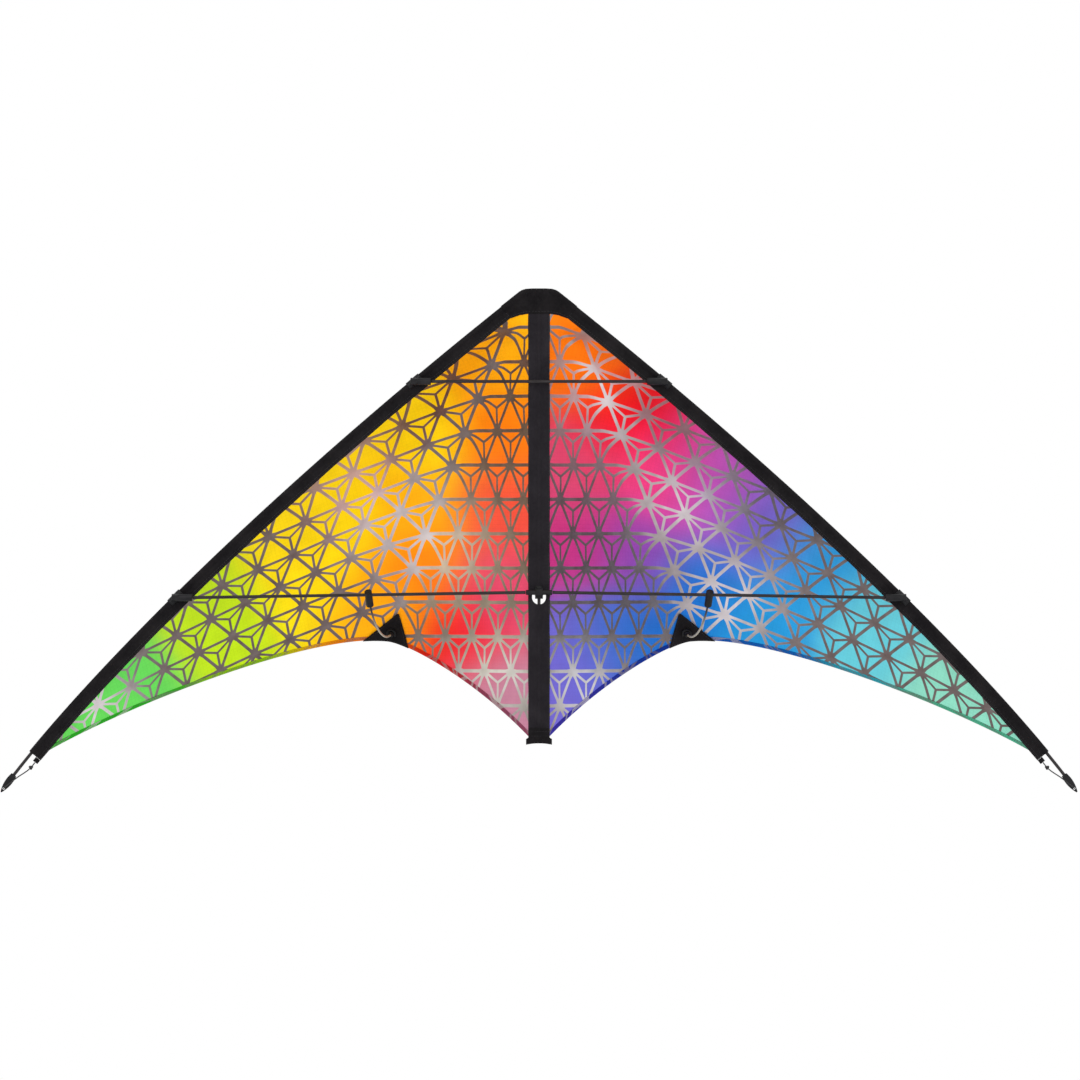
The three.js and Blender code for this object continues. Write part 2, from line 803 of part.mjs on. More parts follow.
// The moulded seat on that patch: a plate and a horseshoe collar, open in front and below.
function standoffSeat() {
  const round = { bevelEnabled: false, curveSegments: 12 };
  const outline = new THREE.Shape();
  outline.absarc(0, 0, collarOuter, 0, Math.PI);
  outline.lineTo(-collarOuter, -footRadius);
  outline.lineTo(collarOuter, -footRadius);
  const flat = new THREE.ExtrudeGeometry(outline, { depth: seatPlate, ...round });
  const wall = new THREE.Shape();
  wall.absarc(0, 0, collarOuter, 0, Math.PI);
  wall.lineTo(-collarOuter, -footRadius);
  wall.lineTo(-collarInner, -footRadius);
  wall.absarc(0, 0, collarInner, Math.PI, 0, true);
  wall.lineTo(collarInner, -footRadius);
  wall.lineTo(collarOuter, -footRadius);
  const collar = new THREE.ExtrudeGeometry(wall, { depth: seatPlate + collarHeight, ...round });
  const up = point(0, 0, 1).addScaledVector(seatFacing, -seatFacing.z).normalize();
  const side = up.clone().cross(seatFacing);
  const seat = join(flat, collar);
  seat.applyMatrix4(new THREE.Matrix4().makeBasis(side, up, seatFacing));
  seat.translate(...sailOffset(ridgeShare, footSeat, seatBack).toArray());
  return seat;
}

// ---------------------------------------------------------------- spreaders and standoff

const teeMouth = point(teeHalfWidth + gap, -spreaderForward, 0);
const lowerMouth = point(
  edgePoint(lowerConnectorAt).x - armReach - gap,
  -spreaderForward,
  -lowerSpreaderFall,
);

function upperSpreaderRod() {
  const reach = edgePoint(upperConnectorAt).x - armReach - gap;
  return bar(
    point(-reach, -spreaderForward, upperSpreaderHeight),
    point(reach, -spreaderForward, upperSpreaderHeight),
    rodRadius,
  );
}

function lowerSpreaderRod() {
  return bar(teeMouth, lowerMouth, rodRadius);
}

const holderShare = (standoffX + holderOutset - teeMouth.x) / (lowerMouth.x - teeMouth.x);
const holderCentre = teeMouth.clone().lerp(lowerMouth, holderShare);
const holderAim = point(-0.1, 0.64, -0.76).normalize();

// The standoff leaves its holder downwards and bends back to the foot, bowed by the sail's pull.
const standoffLine = new THREE.CubicBezierCurve3(
  holderCentre.clone().addScaledVector(holderAim, 7),
  holderCentre.clone().addScaledVector(holderAim, 48),
  between(holderCentre, footCentre, 0.61, 0.68, 1.22),
  footCentre,
);

const standoffSteps = 18;

function standoffRod() {
  return bentBar(standoffLine, standoffRodRadius, 4, standoffSteps);
}

function standoffRodRoom() {
  return bentBar(standoffLine, standoffRodRadius + gap, 4, standoffSteps);
}

function standoffHolder() {
  const top = holderCentre.clone().addScaledVector(holderAim, -holderAbove);
  const bottom = holderCentre.clone().addScaledVector(holderAim, holderBelow);
  const across = lowerMouth.clone().sub(teeMouth).normalize().multiplyScalar(holderRadius + 1);
  const rodRoom = bar(
    holderCentre.clone().sub(across),
    holderCentre.clone().add(across),
    ferruleInner,
  );
  return cut(bar(top, bottom, holderRadius, 20), rodRoom, standoffRodRoom());
}

function standoffFoot() {
  const ball = new THREE.IcosahedronGeometry(footRadius, 2);
  ball.translate(...footCentre.toArray());
  const back = standoffLine.getTangentAt(1).multiplyScalar(-footRadius * 2.2);
  const neck = bar(footCentre, footCentre.clone().add(back), footRadius * 0.62, 12);
  return cut(join(ball, neck), standoffRodRoom());
}

// ---------------------------------------------------------------- the wing tip

// A moulded nock on the rod's end: an almond with an eye near its tip for the tension cord.
function tipNock() {
  const outline = new THREE.Shape();
  const root = nockHalfWidth * 0.8;
  outline.moveTo(-nockLength, -root);
  outline.quadraticCurveTo(-nockLength / 2, -nockHalfWidth * 1.5, 0, -0.8);
  outline.lineTo(0, 0.8);
  outline.quadraticCurveTo(-nockLength / 2, nockHalfWidth * 1.5, -nockLength, root);
  const eye = new THREE.Path();
  eye.absarc(-nockEyeInset, 0, nockEyeRadius, 0, 2 * Math.PI);
  outline.holes.push(eye);
  const body = new THREE.ExtrudeGeometry(outline, {
    depth: 2 * nockHalfThickness,
    bevelEnabled: false,
    curveSegments: 8,
  });
  body.translate(0, 0, -nockHalfThickness);
  const along = edgeTip.clone().sub(edgePoint(edgeLength - nockLength)).normalize();
  const back = point(0, 1, 0);
  body.applyMatrix4(new THREE.Matrix4().makeBasis(along, back.clone().cross(along), back));
  body.translate(...edgeTip.toArray());
  const rodEnd = edgeLength - rodTipInset;
  return cut(body, edgeBar(rodEnd - nockLength, rodEnd + gap, ferruleInner));
}

// The loop of tape sewn to the end of the sleeve, which the tension cord starts from.
function tipTab() {
  const from = sleeveEnd + gap;
  const corners = [
    [-cordOffset - tabHalfWidth, -tabHalfThickness],
    [-cordOffset + tabHalfWidth, -tabHalfThickness],
    [-cordOffset + tabHalfWidth, tabHalfThickness],
    [-cordOffset - tabHalfWidth, tabHalfThickness],
  ];
  return sweep([
    corners.map(([out, y]) => edgePoint(from, out, y)),
    corners.map(([out, y]) => edgePoint(from + tabLength, out, y)),
  ]);
}

const cordFrom = sleeveEnd + tabLength + 2 * gap;
const eyeAt = edgeLength - nockEyeInset;
const cordFront = -nockHalfThickness - cordRadius - gap;

// The cord runs beside the rod, comes to the front of the nock and goes in at its eye.
const cordLine = new THREE.CatmullRomCurve3([
  edgePoint(cordFrom, -cordOffset, 0),
  edgePoint(cordFrom + knotAfterTab, -cordOffset, -0.4),
  edgePoint(cordFrom + 2 * knotAfterTab, -cordOffset + 1.5, -1.2),
  edgePoint(edgeLength - nockLength, -nockHalfWidth - 1, cordFront),
  edgePoint(eyeAt - 7, -1.6, cordFront - 0.6),
  edgePoint(eyeAt - 2.6, -0.3, cordFront - 0.6),
  edgePoint(eyeAt - 0.3, 0, cordFront + 1.2),
  edgePoint(eyeAt, 0, -nockHalfThickness + 2),
  edgePoint(eyeAt, 0, nockHalfThickness),
]);

const cordSteps = 36;

function tensionCord() {
  return bentBar(cordLine, cordRadius, 4, cordSteps);
}

function tensionKnot() {
  const knot = new THREE.IcosahedronGeometry(knotRadius, 1);
  knot.translate(...edgePoint(cordFrom + knotAfterTab, -cordOffset, -0.4).toArray());
  return cut(knot, bentBar(cordLine, cordRadius + gap, 4, cordSteps));
}

// ---------------------------------------------------------------- the kite

function makeSpine() {
  const spine = new THREE.Group();
  spine.add(
    piece("spine_rod", spineRod(), finishes.fibreglass()),
    piece("spine_top_cap", spineCap(spineRodTop, 1), finishes.vinyl()),
    piece("spine_bottom_cap", spineCap(spineRodBottom, -1), finishes.vinyl()),
    piece("spine_sleeve", spineSleeve(), finishes.polyester()),
    piece("nose_patch", nosePatch(), finishes.webbing()),
    piece("tail_patch", tailPatch(), finishes.webbing()),
    piece("centre_tee", centreTee(), finishes.vinyl()),
    piece("upper_spreader_rod", upperSpreaderRod(), finishes.fibreglass()),
  );
  return spine;
}

function makeWing(side, cloth) {
  const wing = new THREE.Group();
  wing.add(
    piece("nose_patch_" + side, sidePatch(), finishes.webbing()),
    piece("leading_edge_sleeve_" + side, edgeSleeve(), finishes.polyester()),
    piece("leading_edge_rod_upper_" + side, edgeRodUpper(), finishes.fibreglass()),
    piece("leading_edge_rod_lower_" + side, edgeRodLower(), finishes.fibreglass()),
    piece("leading_edge_ferrule_" + side, edgeFerrule(), finishes.ferrule()),
    piece("leading_edge_cap_" + side, edgeCap(), finishes.vinyl()),
    piece("upper_connector_" + side, connector(upperConnectorAt), finishes.vinyl()),
    piece("lower_connector_" + side, connector(lowerConnectorAt), finishes.vinyl()),
    piece("sail_" + side, sailCloth(), cloth()),
    piece("trailing_hem_" + side, sailHem(), cloth()),
    piece("standoff_patch_" + side, standoffPatch(), finishes.polyester()),
    piece("standoff_seat_" + side, standoffSeat(), finishes.vinyl()),
    piece("lower_spreader_rod_" + side, lowerSpreaderRod(), finishes.fibreglass()),
    piece("standoff_holder_" + side, standoffHolder(), finishes.vinyl()),
    piece("standoff_rod_" + side, standoffRod(), finishes.fibreglass()),
    piece("standoff_foot_" + side, standoffFoot(), finishes.vinyl()),
    piece("tip_nock_" + side, tipNock(), finishes.vinyl()),
    piece("tip_tab_" + side, tipTab(), finishes.webbing()),
    piece("tension_cord_" + side, tensionCord(), finishes.cord()),
    piece("tension_knot_" + side, tensionKnot(), finishes.cord()),
  );
  return wing;
}

const kite = new THREE.Group();
const leftWing = makeWing("left", finishes.ripstopLeft);
leftWing.scale.x = -1;
kite.add(makeSpine(), makeWing("right", finishes.ripstopRight), leftWing);

export default kite;
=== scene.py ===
# %% [markdown]
# # A two-line delta kite
# The kite is a printed cloth stretched on a few thin rods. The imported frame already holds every
# rod, joint and cloth at its real size, so this lesson only makes the surfaces: smooth rods, soft
# mouldings, folded tapes, and the two printed sails. Every length is in metres, in the frame's own
# axes: +X to the right seen from the front, -Y towards the camera, +Z towards the nose.

import bmesh
import bpy
import numpy as np
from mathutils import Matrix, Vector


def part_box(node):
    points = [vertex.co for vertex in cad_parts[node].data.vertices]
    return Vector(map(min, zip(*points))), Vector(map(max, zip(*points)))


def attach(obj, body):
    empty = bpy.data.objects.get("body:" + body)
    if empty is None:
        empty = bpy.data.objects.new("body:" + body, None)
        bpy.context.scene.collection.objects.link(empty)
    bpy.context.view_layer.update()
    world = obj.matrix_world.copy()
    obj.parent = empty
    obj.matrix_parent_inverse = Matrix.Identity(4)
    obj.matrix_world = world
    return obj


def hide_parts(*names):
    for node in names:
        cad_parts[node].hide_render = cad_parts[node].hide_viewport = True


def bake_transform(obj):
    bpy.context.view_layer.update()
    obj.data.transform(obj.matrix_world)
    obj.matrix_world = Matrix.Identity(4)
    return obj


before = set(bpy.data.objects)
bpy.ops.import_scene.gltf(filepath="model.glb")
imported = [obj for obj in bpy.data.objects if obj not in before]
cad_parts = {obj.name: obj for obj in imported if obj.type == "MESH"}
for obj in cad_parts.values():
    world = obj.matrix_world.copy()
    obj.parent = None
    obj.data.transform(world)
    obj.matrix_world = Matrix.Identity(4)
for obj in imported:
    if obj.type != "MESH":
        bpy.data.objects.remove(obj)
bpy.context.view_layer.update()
MM = 0.001
SIDES = (("left", -1), ("right", 1))

# %% [markdown]
# ## Camera, light and floor
# A kite is shot flat on, from far away with a long lens, so that its wings keep their true span.
# A white world lights cloth evenly from every side, as a light tent does. Two large soft lights in
# front add a little shape, and a grey highlight down the middle of each rod.

# %% Camera
VIEW_WIDTH = 1.350
VIEW_DISTANCE = 16.0
VIEW_HEIGHT = 0.0655
SENSOR = 36.0

lens = bpy.data.cameras.new("camera")
lens.sensor_width = SENSOR
lens.lens = SENSOR * VIEW_DISTANCE / VIEW_WIDTH
lens.clip_end = 60
camera = bpy.data.objects.new("camera", lens)
camera.location = (1.25 * MM, -VIEW_DISTANCE, VIEW_HEIGHT)
camera.rotation_euler = (np.radians(90), 0, 0)
bpy.context.collection.objects.link(camera)
bpy.context.scene.camera = camera
bpy.context.scene.view_settings.view_transform = "Standard"
print(f"lens {lens.lens:.0f} mm at {VIEW_DISTANCE:.0f} m")

# %% World and soft lights
world = bpy.data.worlds.new("light tent")
world.use_nodes = True
world.node_tree.nodes["Background"].inputs["Color"].default_value = (1, 1, 1, 1)
world.node_tree.nodes["Background"].inputs["Strength"].default_value = 1.0
bpy.context.scene.world = world


def soft_light(name, place, size, watts):
    """A square soft light that faces the middle of the kite."""
    light = bpy.data.lights.new(name, "AREA")
    light.size = size
    light.energy = watts
    lamp = bpy.data.objects.new(name, light)
    lamp.location = place
    aim = -lamp.location.normalized()
    lamp.rotation_euler = aim.to_track_quat("-Z", "Y").to_euler()
    bpy.context.collection.objects.link(lamp)


soft_light("key light", (-1.2, -2.6, 1.6), 1.4, 26)
soft_light("fill light", (1.8, -2.4, 0.4), 1.4, 12)
print("lights:", len(bpy.data.lights))

# %% [markdown]
# ## Small helpers
# Every shape here is rows of points that are joined into faces, so one helper turns points and
# faces into a piece. A mirrored piece turns its faces round too, or they would look inwards.

# %% Making a piece from points
def link(name, mesh):
    made = bpy.data.objects.new(name, mesh)
    bpy.context.collection.objects.link(made)
    return made


def piece(name, points, faces, material, side=1, sharp=50):
    """A smooth-shaded mesh; side -1 mirrors it to the left wing."""
    points = np.array(points, float).reshape(-1, 3)
    points[:, 0] *= side
    if side < 0:
        faces = [face[::-1] for face in faces]
    mesh = bpy.data.meshes.new(name)
    mesh.from_pydata(points.tolist(), [], faces)
    mesh.materials.append(material)
    mesh.shade_smooth()
    mesh.set_sharp_from_angle(angle=np.radians(sharp))
    return link(name, mesh)


def grid_faces(rows, columns, start=0, closed=False):
    """Faces over a grid of points, row after row; closed joins the last column to the first."""
    faces = []
    for i in range(rows - 1):
        for j in range(columns if closed else columns - 1):
            k = (j + 1) % columns
            low, high = start + i * columns, start + (i + 1) * columns
            faces.append((low + j, low + k, high + k, high + j))
    return faces


def outward(made):
    """Turns every face of a closed mesh outwards."""
    shape = bmesh.new()
    shape.from_mesh(made.data)
    bmesh.ops.recalc_face_normals(shape, faces=shape.faces)
    shape.to_mesh(made.data)
    shape.free()
    return made


def set_map(made, values):
    """Gives a mesh the UV map 'cloth' from one pair of values for each point."""
    layer = made.data.uv_layers.new(name="cloth")
    corner = np.zeros(len(made.data.loops), int)
    made.data.loops.foreach_get("vertex_index", corner)
    layer.data.foreach_set("uv", np.asarray(values, np.float32)[corner].ravel())


def apply_modifiers(made):
    """Keeps what the modifiers show as a plain mesh."""
    shown = made.evaluated_get(bpy.context.evaluated_depsgraph_get())
    mesh = bpy.data.meshes.new_from_object(shown)
    made.modifiers.clear()
    made.data = mesh
    return made


def cut(made, *cutters):
    """Takes closed cutters out of a closed piece."""
    for cutter in cutters:
        tool = made.modifiers.new("cut", "BOOLEAN")
        tool.operation = "DIFFERENCE"
        tool.solver = "EXACT"
        tool.object = cutter
    apply_modifiers(made)
    for cutter in cutters:
        bpy.data.objects.remove(cutter)
    made.data.shade_smooth()
    made.data.set_sharp_from_angle(angle=np.radians(50))
    return made


def sweep_rings(name, rings, material, side=1):
    """A closed bar through rings of points, each ring the same way round."""
    rings = np.asarray(rings, float)
    count, sides = rings.shape[:2]
    last = (count - 1) * sides
    faces = grid_faces(count, sides, closed=True)
    faces += [tuple(range(sides))[::-1], tuple(range(last, last + sides))]
    return outward(piece(name, rings, faces, material, side))


def two_layers(name, front, back, material, side=1):
    """A closed sheet between two grids of points, joined all round their edges."""
    rows, columns = front.shape[:2]
    size = rows * columns
    points = np.concatenate([front.reshape(-1, 3), back.reshape(-1, 3)])
    faces = grid_faces(rows, columns)
    faces += [tuple(size + k for k in face[::-1]) for face in grid_faces(rows, columns)]
    rim = list(range(columns))
    rim += [i * columns + columns - 1 for i in range(1, rows)]
    rim += [(rows - 1) * columns + j for j in range(columns - 2, -1, -1)]
    rim += [i * columns for i in range(rows - 2, 0, -1)]
    for a, b in zip(rim, rim[1:] + rim[:1]):
        faces.append((a, size + a, size + b, b))
    return outward(piece(name, points, faces, material, side))


print("helpers ready")

# %% [markdown]
# ## Wiring materials
# A material is a little machine of nodes. Two helpers keep the wiring short: one makes any node
# and fills its inputs with numbers or with another node's output, the other does arithmetic.

# %% Node helpers
def node(tree, kind, inputs=None, **settings):
    made = tree.nodes.new(kind)
    for key, value in settings.items():
        setattr(made, key, value)
    for key, value in (inputs or {}).items():
        if isinstance(value, bpy.types.NodeSocket):
            tree.links.new(value, made.inputs[key])
        else:
            made.inputs[key].default_value = value
    return made


def calc(tree, operation, *values):
    inputs = dict(enumerate(values))
    return node(tree, "ShaderNodeMath", inputs, operation=operation).outputs[0]


def blend_colours(tree, share, first, second):
    made = node(tree, "ShaderNodeMix", {0: share}, data_type="RGBA")
    for key, value in ((6, first), (7, second)):
        if isinstance(value, bpy.types.NodeSocket):
            tree.links.new(value, made.inputs[key])
        else:
            made.inputs[key].default_value = (*value, 1)
    return made.outputs[2]


def noise(tree, place, scale, detail=2.0):
    inputs = {"Vector": place, "Scale": scale, "Detail": detail}
    return node(tree, "ShaderNodeTexNoise", inputs).outputs["Fac"]


def stretch(tree, value, low, high, to_low=0.0, to_high=1.0):
    inputs = {"Value": value, "From Min": low, "From Max": high, "To Min": to_low, "To Max": to_high}
    return node(tree, "ShaderNodeMapRange", inputs).outputs[0]


def new_material(name):
    material = bpy.data.materials.new(name)
    material.use_nodes = True
    return material, material.node_tree, material.node_tree.nodes["Principled BSDF"]


def plug(tree, surface, **sockets):
    """Wires outputs to the surface's sockets, named with _ for a space."""
    for key, value in sockets.items():
        tree.links.new(value, surface.inputs[key.replace("_", " ")])


def relief(tree, surface, height, distance, strength=1.0):
    inputs = {"Height": height, "Distance": distance, "Strength": strength}
    bump = node(tree, "ShaderNodeBump", inputs)
    tree.links.new(bump.outputs["Normal"], surface.inputs["Normal"])


def object_place(tree):
    return node(tree, "ShaderNodeTexCoord").outputs["Object"]


def map_place(tree):
    return node(tree, "ShaderNodeUVMap", uv_map="cloth").outputs["UV"]


print("node helpers ready")

# %% [markdown]
# ## Black cloth
# The sleeves are woven polyester tape and the corners a heavier webbing. Both are nearly black,
# with a soft sheen and a fine crossed weave. Two sets of waves at right angles make the threads:
# they raise the bump, and the colour is painted darker in the dips between threads as shade and
# paler on their tops as highlight. A slow noise makes the tape a little paler where it has rubbed.

# %% Woven black cloth
WAVE_PERIOD = 0.31416  # of a wave texture at scale 1


def woven_cloth(name, dark, worn, thread, sheen):
    material, tree, surface = new_material(name)
    place = object_place(tree)
    waves = []
    for direction in ("X", "Z"):
        inputs = {"Vector": place, "Scale": WAVE_PERIOD / thread, "Distortion": 0.4}
        made = node(tree, "ShaderNodeTexWave", inputs, bands_direction=direction)
        waves.append(made.outputs["Fac"])
    weave = calc(tree, "MULTIPLY", *waves)
    rubbed = stretch(tree, noise(tree, place, 28, 5), 0.42, 0.75)
    colour = blend_colours(tree, rubbed, dark, worn)
    # Painted shade and highlight: the weave darkens the colour in the dips between threads and lightens it
    # on their tops.
    threads = stretch(tree, weave, 0, 1, 0.78, 1.15)
    weave_shaded = node(tree, "ShaderNodeVectorMath", {0: colour, 3: threads}, operation="SCALE")
    rough = stretch(tree, noise(tree, place, 300), 0.3, 0.7, 0.72, 0.92)
    plug(tree, surface, Base_Color=weave_shaded.outputs[0], Roughness=rough)
    relief(tree, surface, weave, 0.12 * MM, 0.7)
    surface.inputs["Sheen Weight"].default_value = sheen
    surface.inputs["Sheen Roughness"].default_value = 0.45
    surface.inputs["Specular IOR Level"].default_value = 0.15
    return material


polyester = woven_cloth("polyester tape", (0.011, 0.009, 0.012), (0.020, 0.017, 0.021), 0.9 * MM, 0.04)
edge_tape = woven_cloth("edge tape", (0.005, 0.004, 0.005), (0.013, 0.011, 0.012), 0.9 * MM, 0.02)
webbing = woven_cloth("folded webbing", (0.004, 0.003, 0.004), (0.012, 0.010, 0.011), 1.4 * MM, 0.02)
print("cloths:", polyester.name, edge_tape.name, "and", webbing.name)

# %% [markdown]
# ## Vinyl, fibreglass, tube and cord
# Moulded vinyl is a soft black with an uneven gloss. A pultruded rod shows the long glass fibres
# that run down it, so its streaks follow the rod's own map, which has the way round the rod in its
# first number and the way along it in its second.

# %% Moulded vinyl
def vinyl_finish():
    material, tree, surface = new_material("moulded vinyl")
    place = object_place(tree)
    scuffs = noise(tree, place, 90, 6)
    scuffed = stretch(tree, scuffs, 0.4, 0.75)
    colour = blend_colours(tree, scuffed, (0.005, 0.005, 0.006), (0.016, 0.015, 0.017))
    rough = stretch(tree, scuffs, 0.3, 0.7, 0.36, 0.58)
    plug(tree, surface, Base_Color=colour, Roughness=rough)
    relief(tree, surface, noise(tree, place, 1600), 0.04 * MM, 0.5)
    surface.inputs["Specular IOR Level"].default_value = 0.2
    return material


vinyl = vinyl_finish()
print("made", vinyl.name)


# %% Fibreglass rods
def fibreglass_finish(name, fades_from=None, fades_to=None):
    """Dark rod; if two heights are given, it is painted pale between them, as painted light on the glass.
    """
    material, tree, surface = new_material(name)
    around = node(tree, "ShaderNodeMapping", {"Vector": map_place(tree), "Scale": (9, 22, 1)})
    fibres = noise(tree, around.outputs[0], 3, 6)
    streaks = stretch(tree, fibres, 0.35, 0.7)
    colour = blend_colours(tree, streaks, (0.005, 0.004, 0.004), (0.034, 0.028, 0.030))
    # Painted light: the pale lower part stands for the translucent glass looking lit against the dark patch
    # behind it.
    if fades_from is not None:
        height = node(tree, "ShaderNodeSeparateXYZ", {0: object_place(tree)}).outputs["Z"]
        share = stretch(tree, height, fades_from, fades_to)
        colour = blend_colours(tree, share, colour, (0.36, 0.33, 0.25))
    rough = stretch(tree, fibres, 0.3, 0.7, 0.34, 0.5)
    plug(tree, surface, Base_Color=colour, Roughness=rough)
    relief(tree, surface, fibres, 0.03 * MM, 0.5)
    surface.inputs["Specular IOR Level"].default_value = 0.25
    return material


# Between these heights the standoff's colour turns from dark to a painted light.
STANDOFF_DARK = -0.026
STANDOFF_PALE = -0.046
fibreglass = fibreglass_finish("fibreglass rod")
glass_painted_light = fibreglass_finish("glass rod with painted light", STANDOFF_DARK, STANDOFF_PALE)
print("made", fibreglass.name, "and", glass_painted_light.name)


# %% Drawn tube and braided cord
def ferrule_finish():
    material, tree, surface = new_material("drawn tube")
    drawn = node(tree, "ShaderNodeMapping", {"Vector": object_place(tree), "Scale": (60, 900, 60)})
    lines = noise(tree, drawn.outputs[0], 4, 4)
    colour = blend_colours(tree, lines, (0.50, 0.50, 0.52), (0.66, 0.66, 0.67))
    plug(tree, surface, Base_Color=colour, Roughness=stretch(tree, lines, 0.2, 0.8, 0.24, 0.42))
    surface.inputs["Metallic"].default_value = 1
    return material


def cord_finish(name, dark, light, strands, lay):
    """A braid: two sets of strands that wind opposite ways round the cord, its colour painted darker in the
    grooves between them as shade.
    """
    material, tree, surface = new_material(name)
    split = node(tree, "ShaderNodeSeparateXYZ", {0: map_place(tree)})
    turn = calc(tree, "MULTIPLY", split.outputs["X"], strands)
    along = calc(tree, "DIVIDE", split.outputs["Y"], lay)
    first = calc(tree, "PINGPONG", calc(tree, "ADD", turn, along), 0.5)
    second = calc(tree, "PINGPONG", calc(tree, "SUBTRACT", turn, along), 0.5)
    height = calc(tree, "MAXIMUM", first, second)
    # Painted shade: the colour runs from dark in the grooves between strands to light on their tops.
    plug(tree, surface, Base_Color=blend_colours(tree, stretch(tree, height, 0.2, 0.5), dark, light))
    relief(tree, surface, height, 0.25 * MM)
    surface.inputs["Roughness"].default_value = 0.8
    surface.inputs["Sheen Weight"].default_value = 0.1
    return material


tube_metal = ferrule_finish()
braid = cord_finish("braided cord", (0.006, 0.006, 0.006), (0.030, 0.029, 0.030), 4, 1.6 * MM)
thread = cord_finish("sewing thread", (0.012, 0.011, 0.013), (0.055, 0.050, 0.056), 2, 0.8 * MM)
print("made", tube_metal.name, braid.name, thread.name)

# %% [markdown]
# ## The printed cloth's finish
# The panels are dyed in pools of colour that run into each other, and a metal foil is printed over
# the dye as a net of triangles. The dye varies slowly, and so does the foil's painted reflection, a
# brightness painted into the foil's colour: pale where it would face a light and dark elsewhere. Both
# are stored on the points of the cloth. The net has sharp lines, so the material draws it from the
# cloth's flat map: three sets of parallel lines 60 degrees apart, and a Y inside each triangle that
# points down. Measured across the three sets, a place has three remainders that add up to 1 in a
# triangle that points down, and to 2 in one that points up.

# %% Foil net
NET_PITCH = 49.7 * MM
NET_ROW = NET_PITCH * np.sqrt(3) / 2
NET_DOWN = 28.5 * MM  # of the first row, from the apex
NET_IN = {"left": 35.0 * MM, "right": 45.8 * MM}  # of a star, from the spine
LINE_HALF = 2.1 * MM
BRANCH_HALF = 1.7 * MM
STAR_REACH = 13 * MM
STAR_FLARE = 2.0 * MM
BRANCH_FLARE = 0.6  # of a star's flare, where a branch meets it
PRINT_EDGE = 0.5 * MM


def foil_net(tree, star_in):
    """1 on the foil and 0 between its lines."""
    split = node(tree, "ShaderNodeSeparateXYZ", {0: map_place(tree)})
    x = calc(tree, "DIVIDE", calc(tree, "SUBTRACT", split.outputs["X"], star_in), NET_ROW)
    y = calc(tree, "DIVIDE", calc(tree, "SUBTRACT", split.outputs["Y"], NET_DOWN), NET_ROW)
    slant = calc(tree, "MULTIPLY", x, np.sqrt(3) / 2)
    half = calc(tree, "MULTIPLY", y, 0.5)
    rising = calc(tree, "SUBTRACT", slant, half)
    falling = calc(tree, "SUBTRACT", calc(tree, "MULTIPLY", slant, -1), half)
    across = [y, rising, falling]
    part = [calc(tree, "FRACT", value) for value in across]
    near = [calc(tree, "MULTIPLY", calc(tree, "PINGPONG", value, 0.5), NET_ROW) for value in across]
    line = calc(tree, "MINIMUM", calc(tree, "MINIMUM", near[0], near[1]), near[2])
    most = calc(tree, "MAXIMUM", calc(tree, "MAXIMUM", part[0], part[1]), part[2])
    least = calc(tree, "MINIMUM", calc(tree, "MINIMUM", part[0], part[1]), part[2])
    total = calc(tree, "ADD", calc(tree, "ADD", part[0], part[1]), part[2])
    middle = calc(tree, "SUBTRACT", calc(tree, "SUBTRACT", 1.0, most), least)
    branch = calc(tree, "MULTIPLY", calc(tree, "SUBTRACT", middle, least), NET_ROW / np.sqrt(3))
    points_up = calc(tree, "GREATER_THAN", total, 1.5)
    branch = calc(tree, "ADD", branch, points_up)
    squares = [calc(tree, "POWER", value, 2.0) for value in near]
    radius = calc(tree, "SQRT", calc(tree, "ADD", calc(tree, "ADD", squares[0], squares[1]), squares[2]))
    star = stretch(tree, radius, 0, STAR_REACH, STAR_FLARE, 0)
    line = calc(tree, "SUBTRACT", calc(tree, "SUBTRACT", line, LINE_HALF), star)
    branch = calc(tree, "SUBTRACT", branch, BRANCH_HALF)
    branch = calc(tree, "SUBTRACT", branch, calc(tree, "MULTIPLY", star, BRANCH_FLARE))
    inside = calc(tree, "MINIMUM", line, branch)
    return stretch(tree, inside, PRINT_EDGE / 2, -PRINT_EDGE / 2)


print(f"net rows {NET_ROW / MM:.1f} mm apart")

# %% Ripstop material
RIPSTOP_PITCH = 5 * MM
RIPSTOP_THREAD = 0.35 * MM


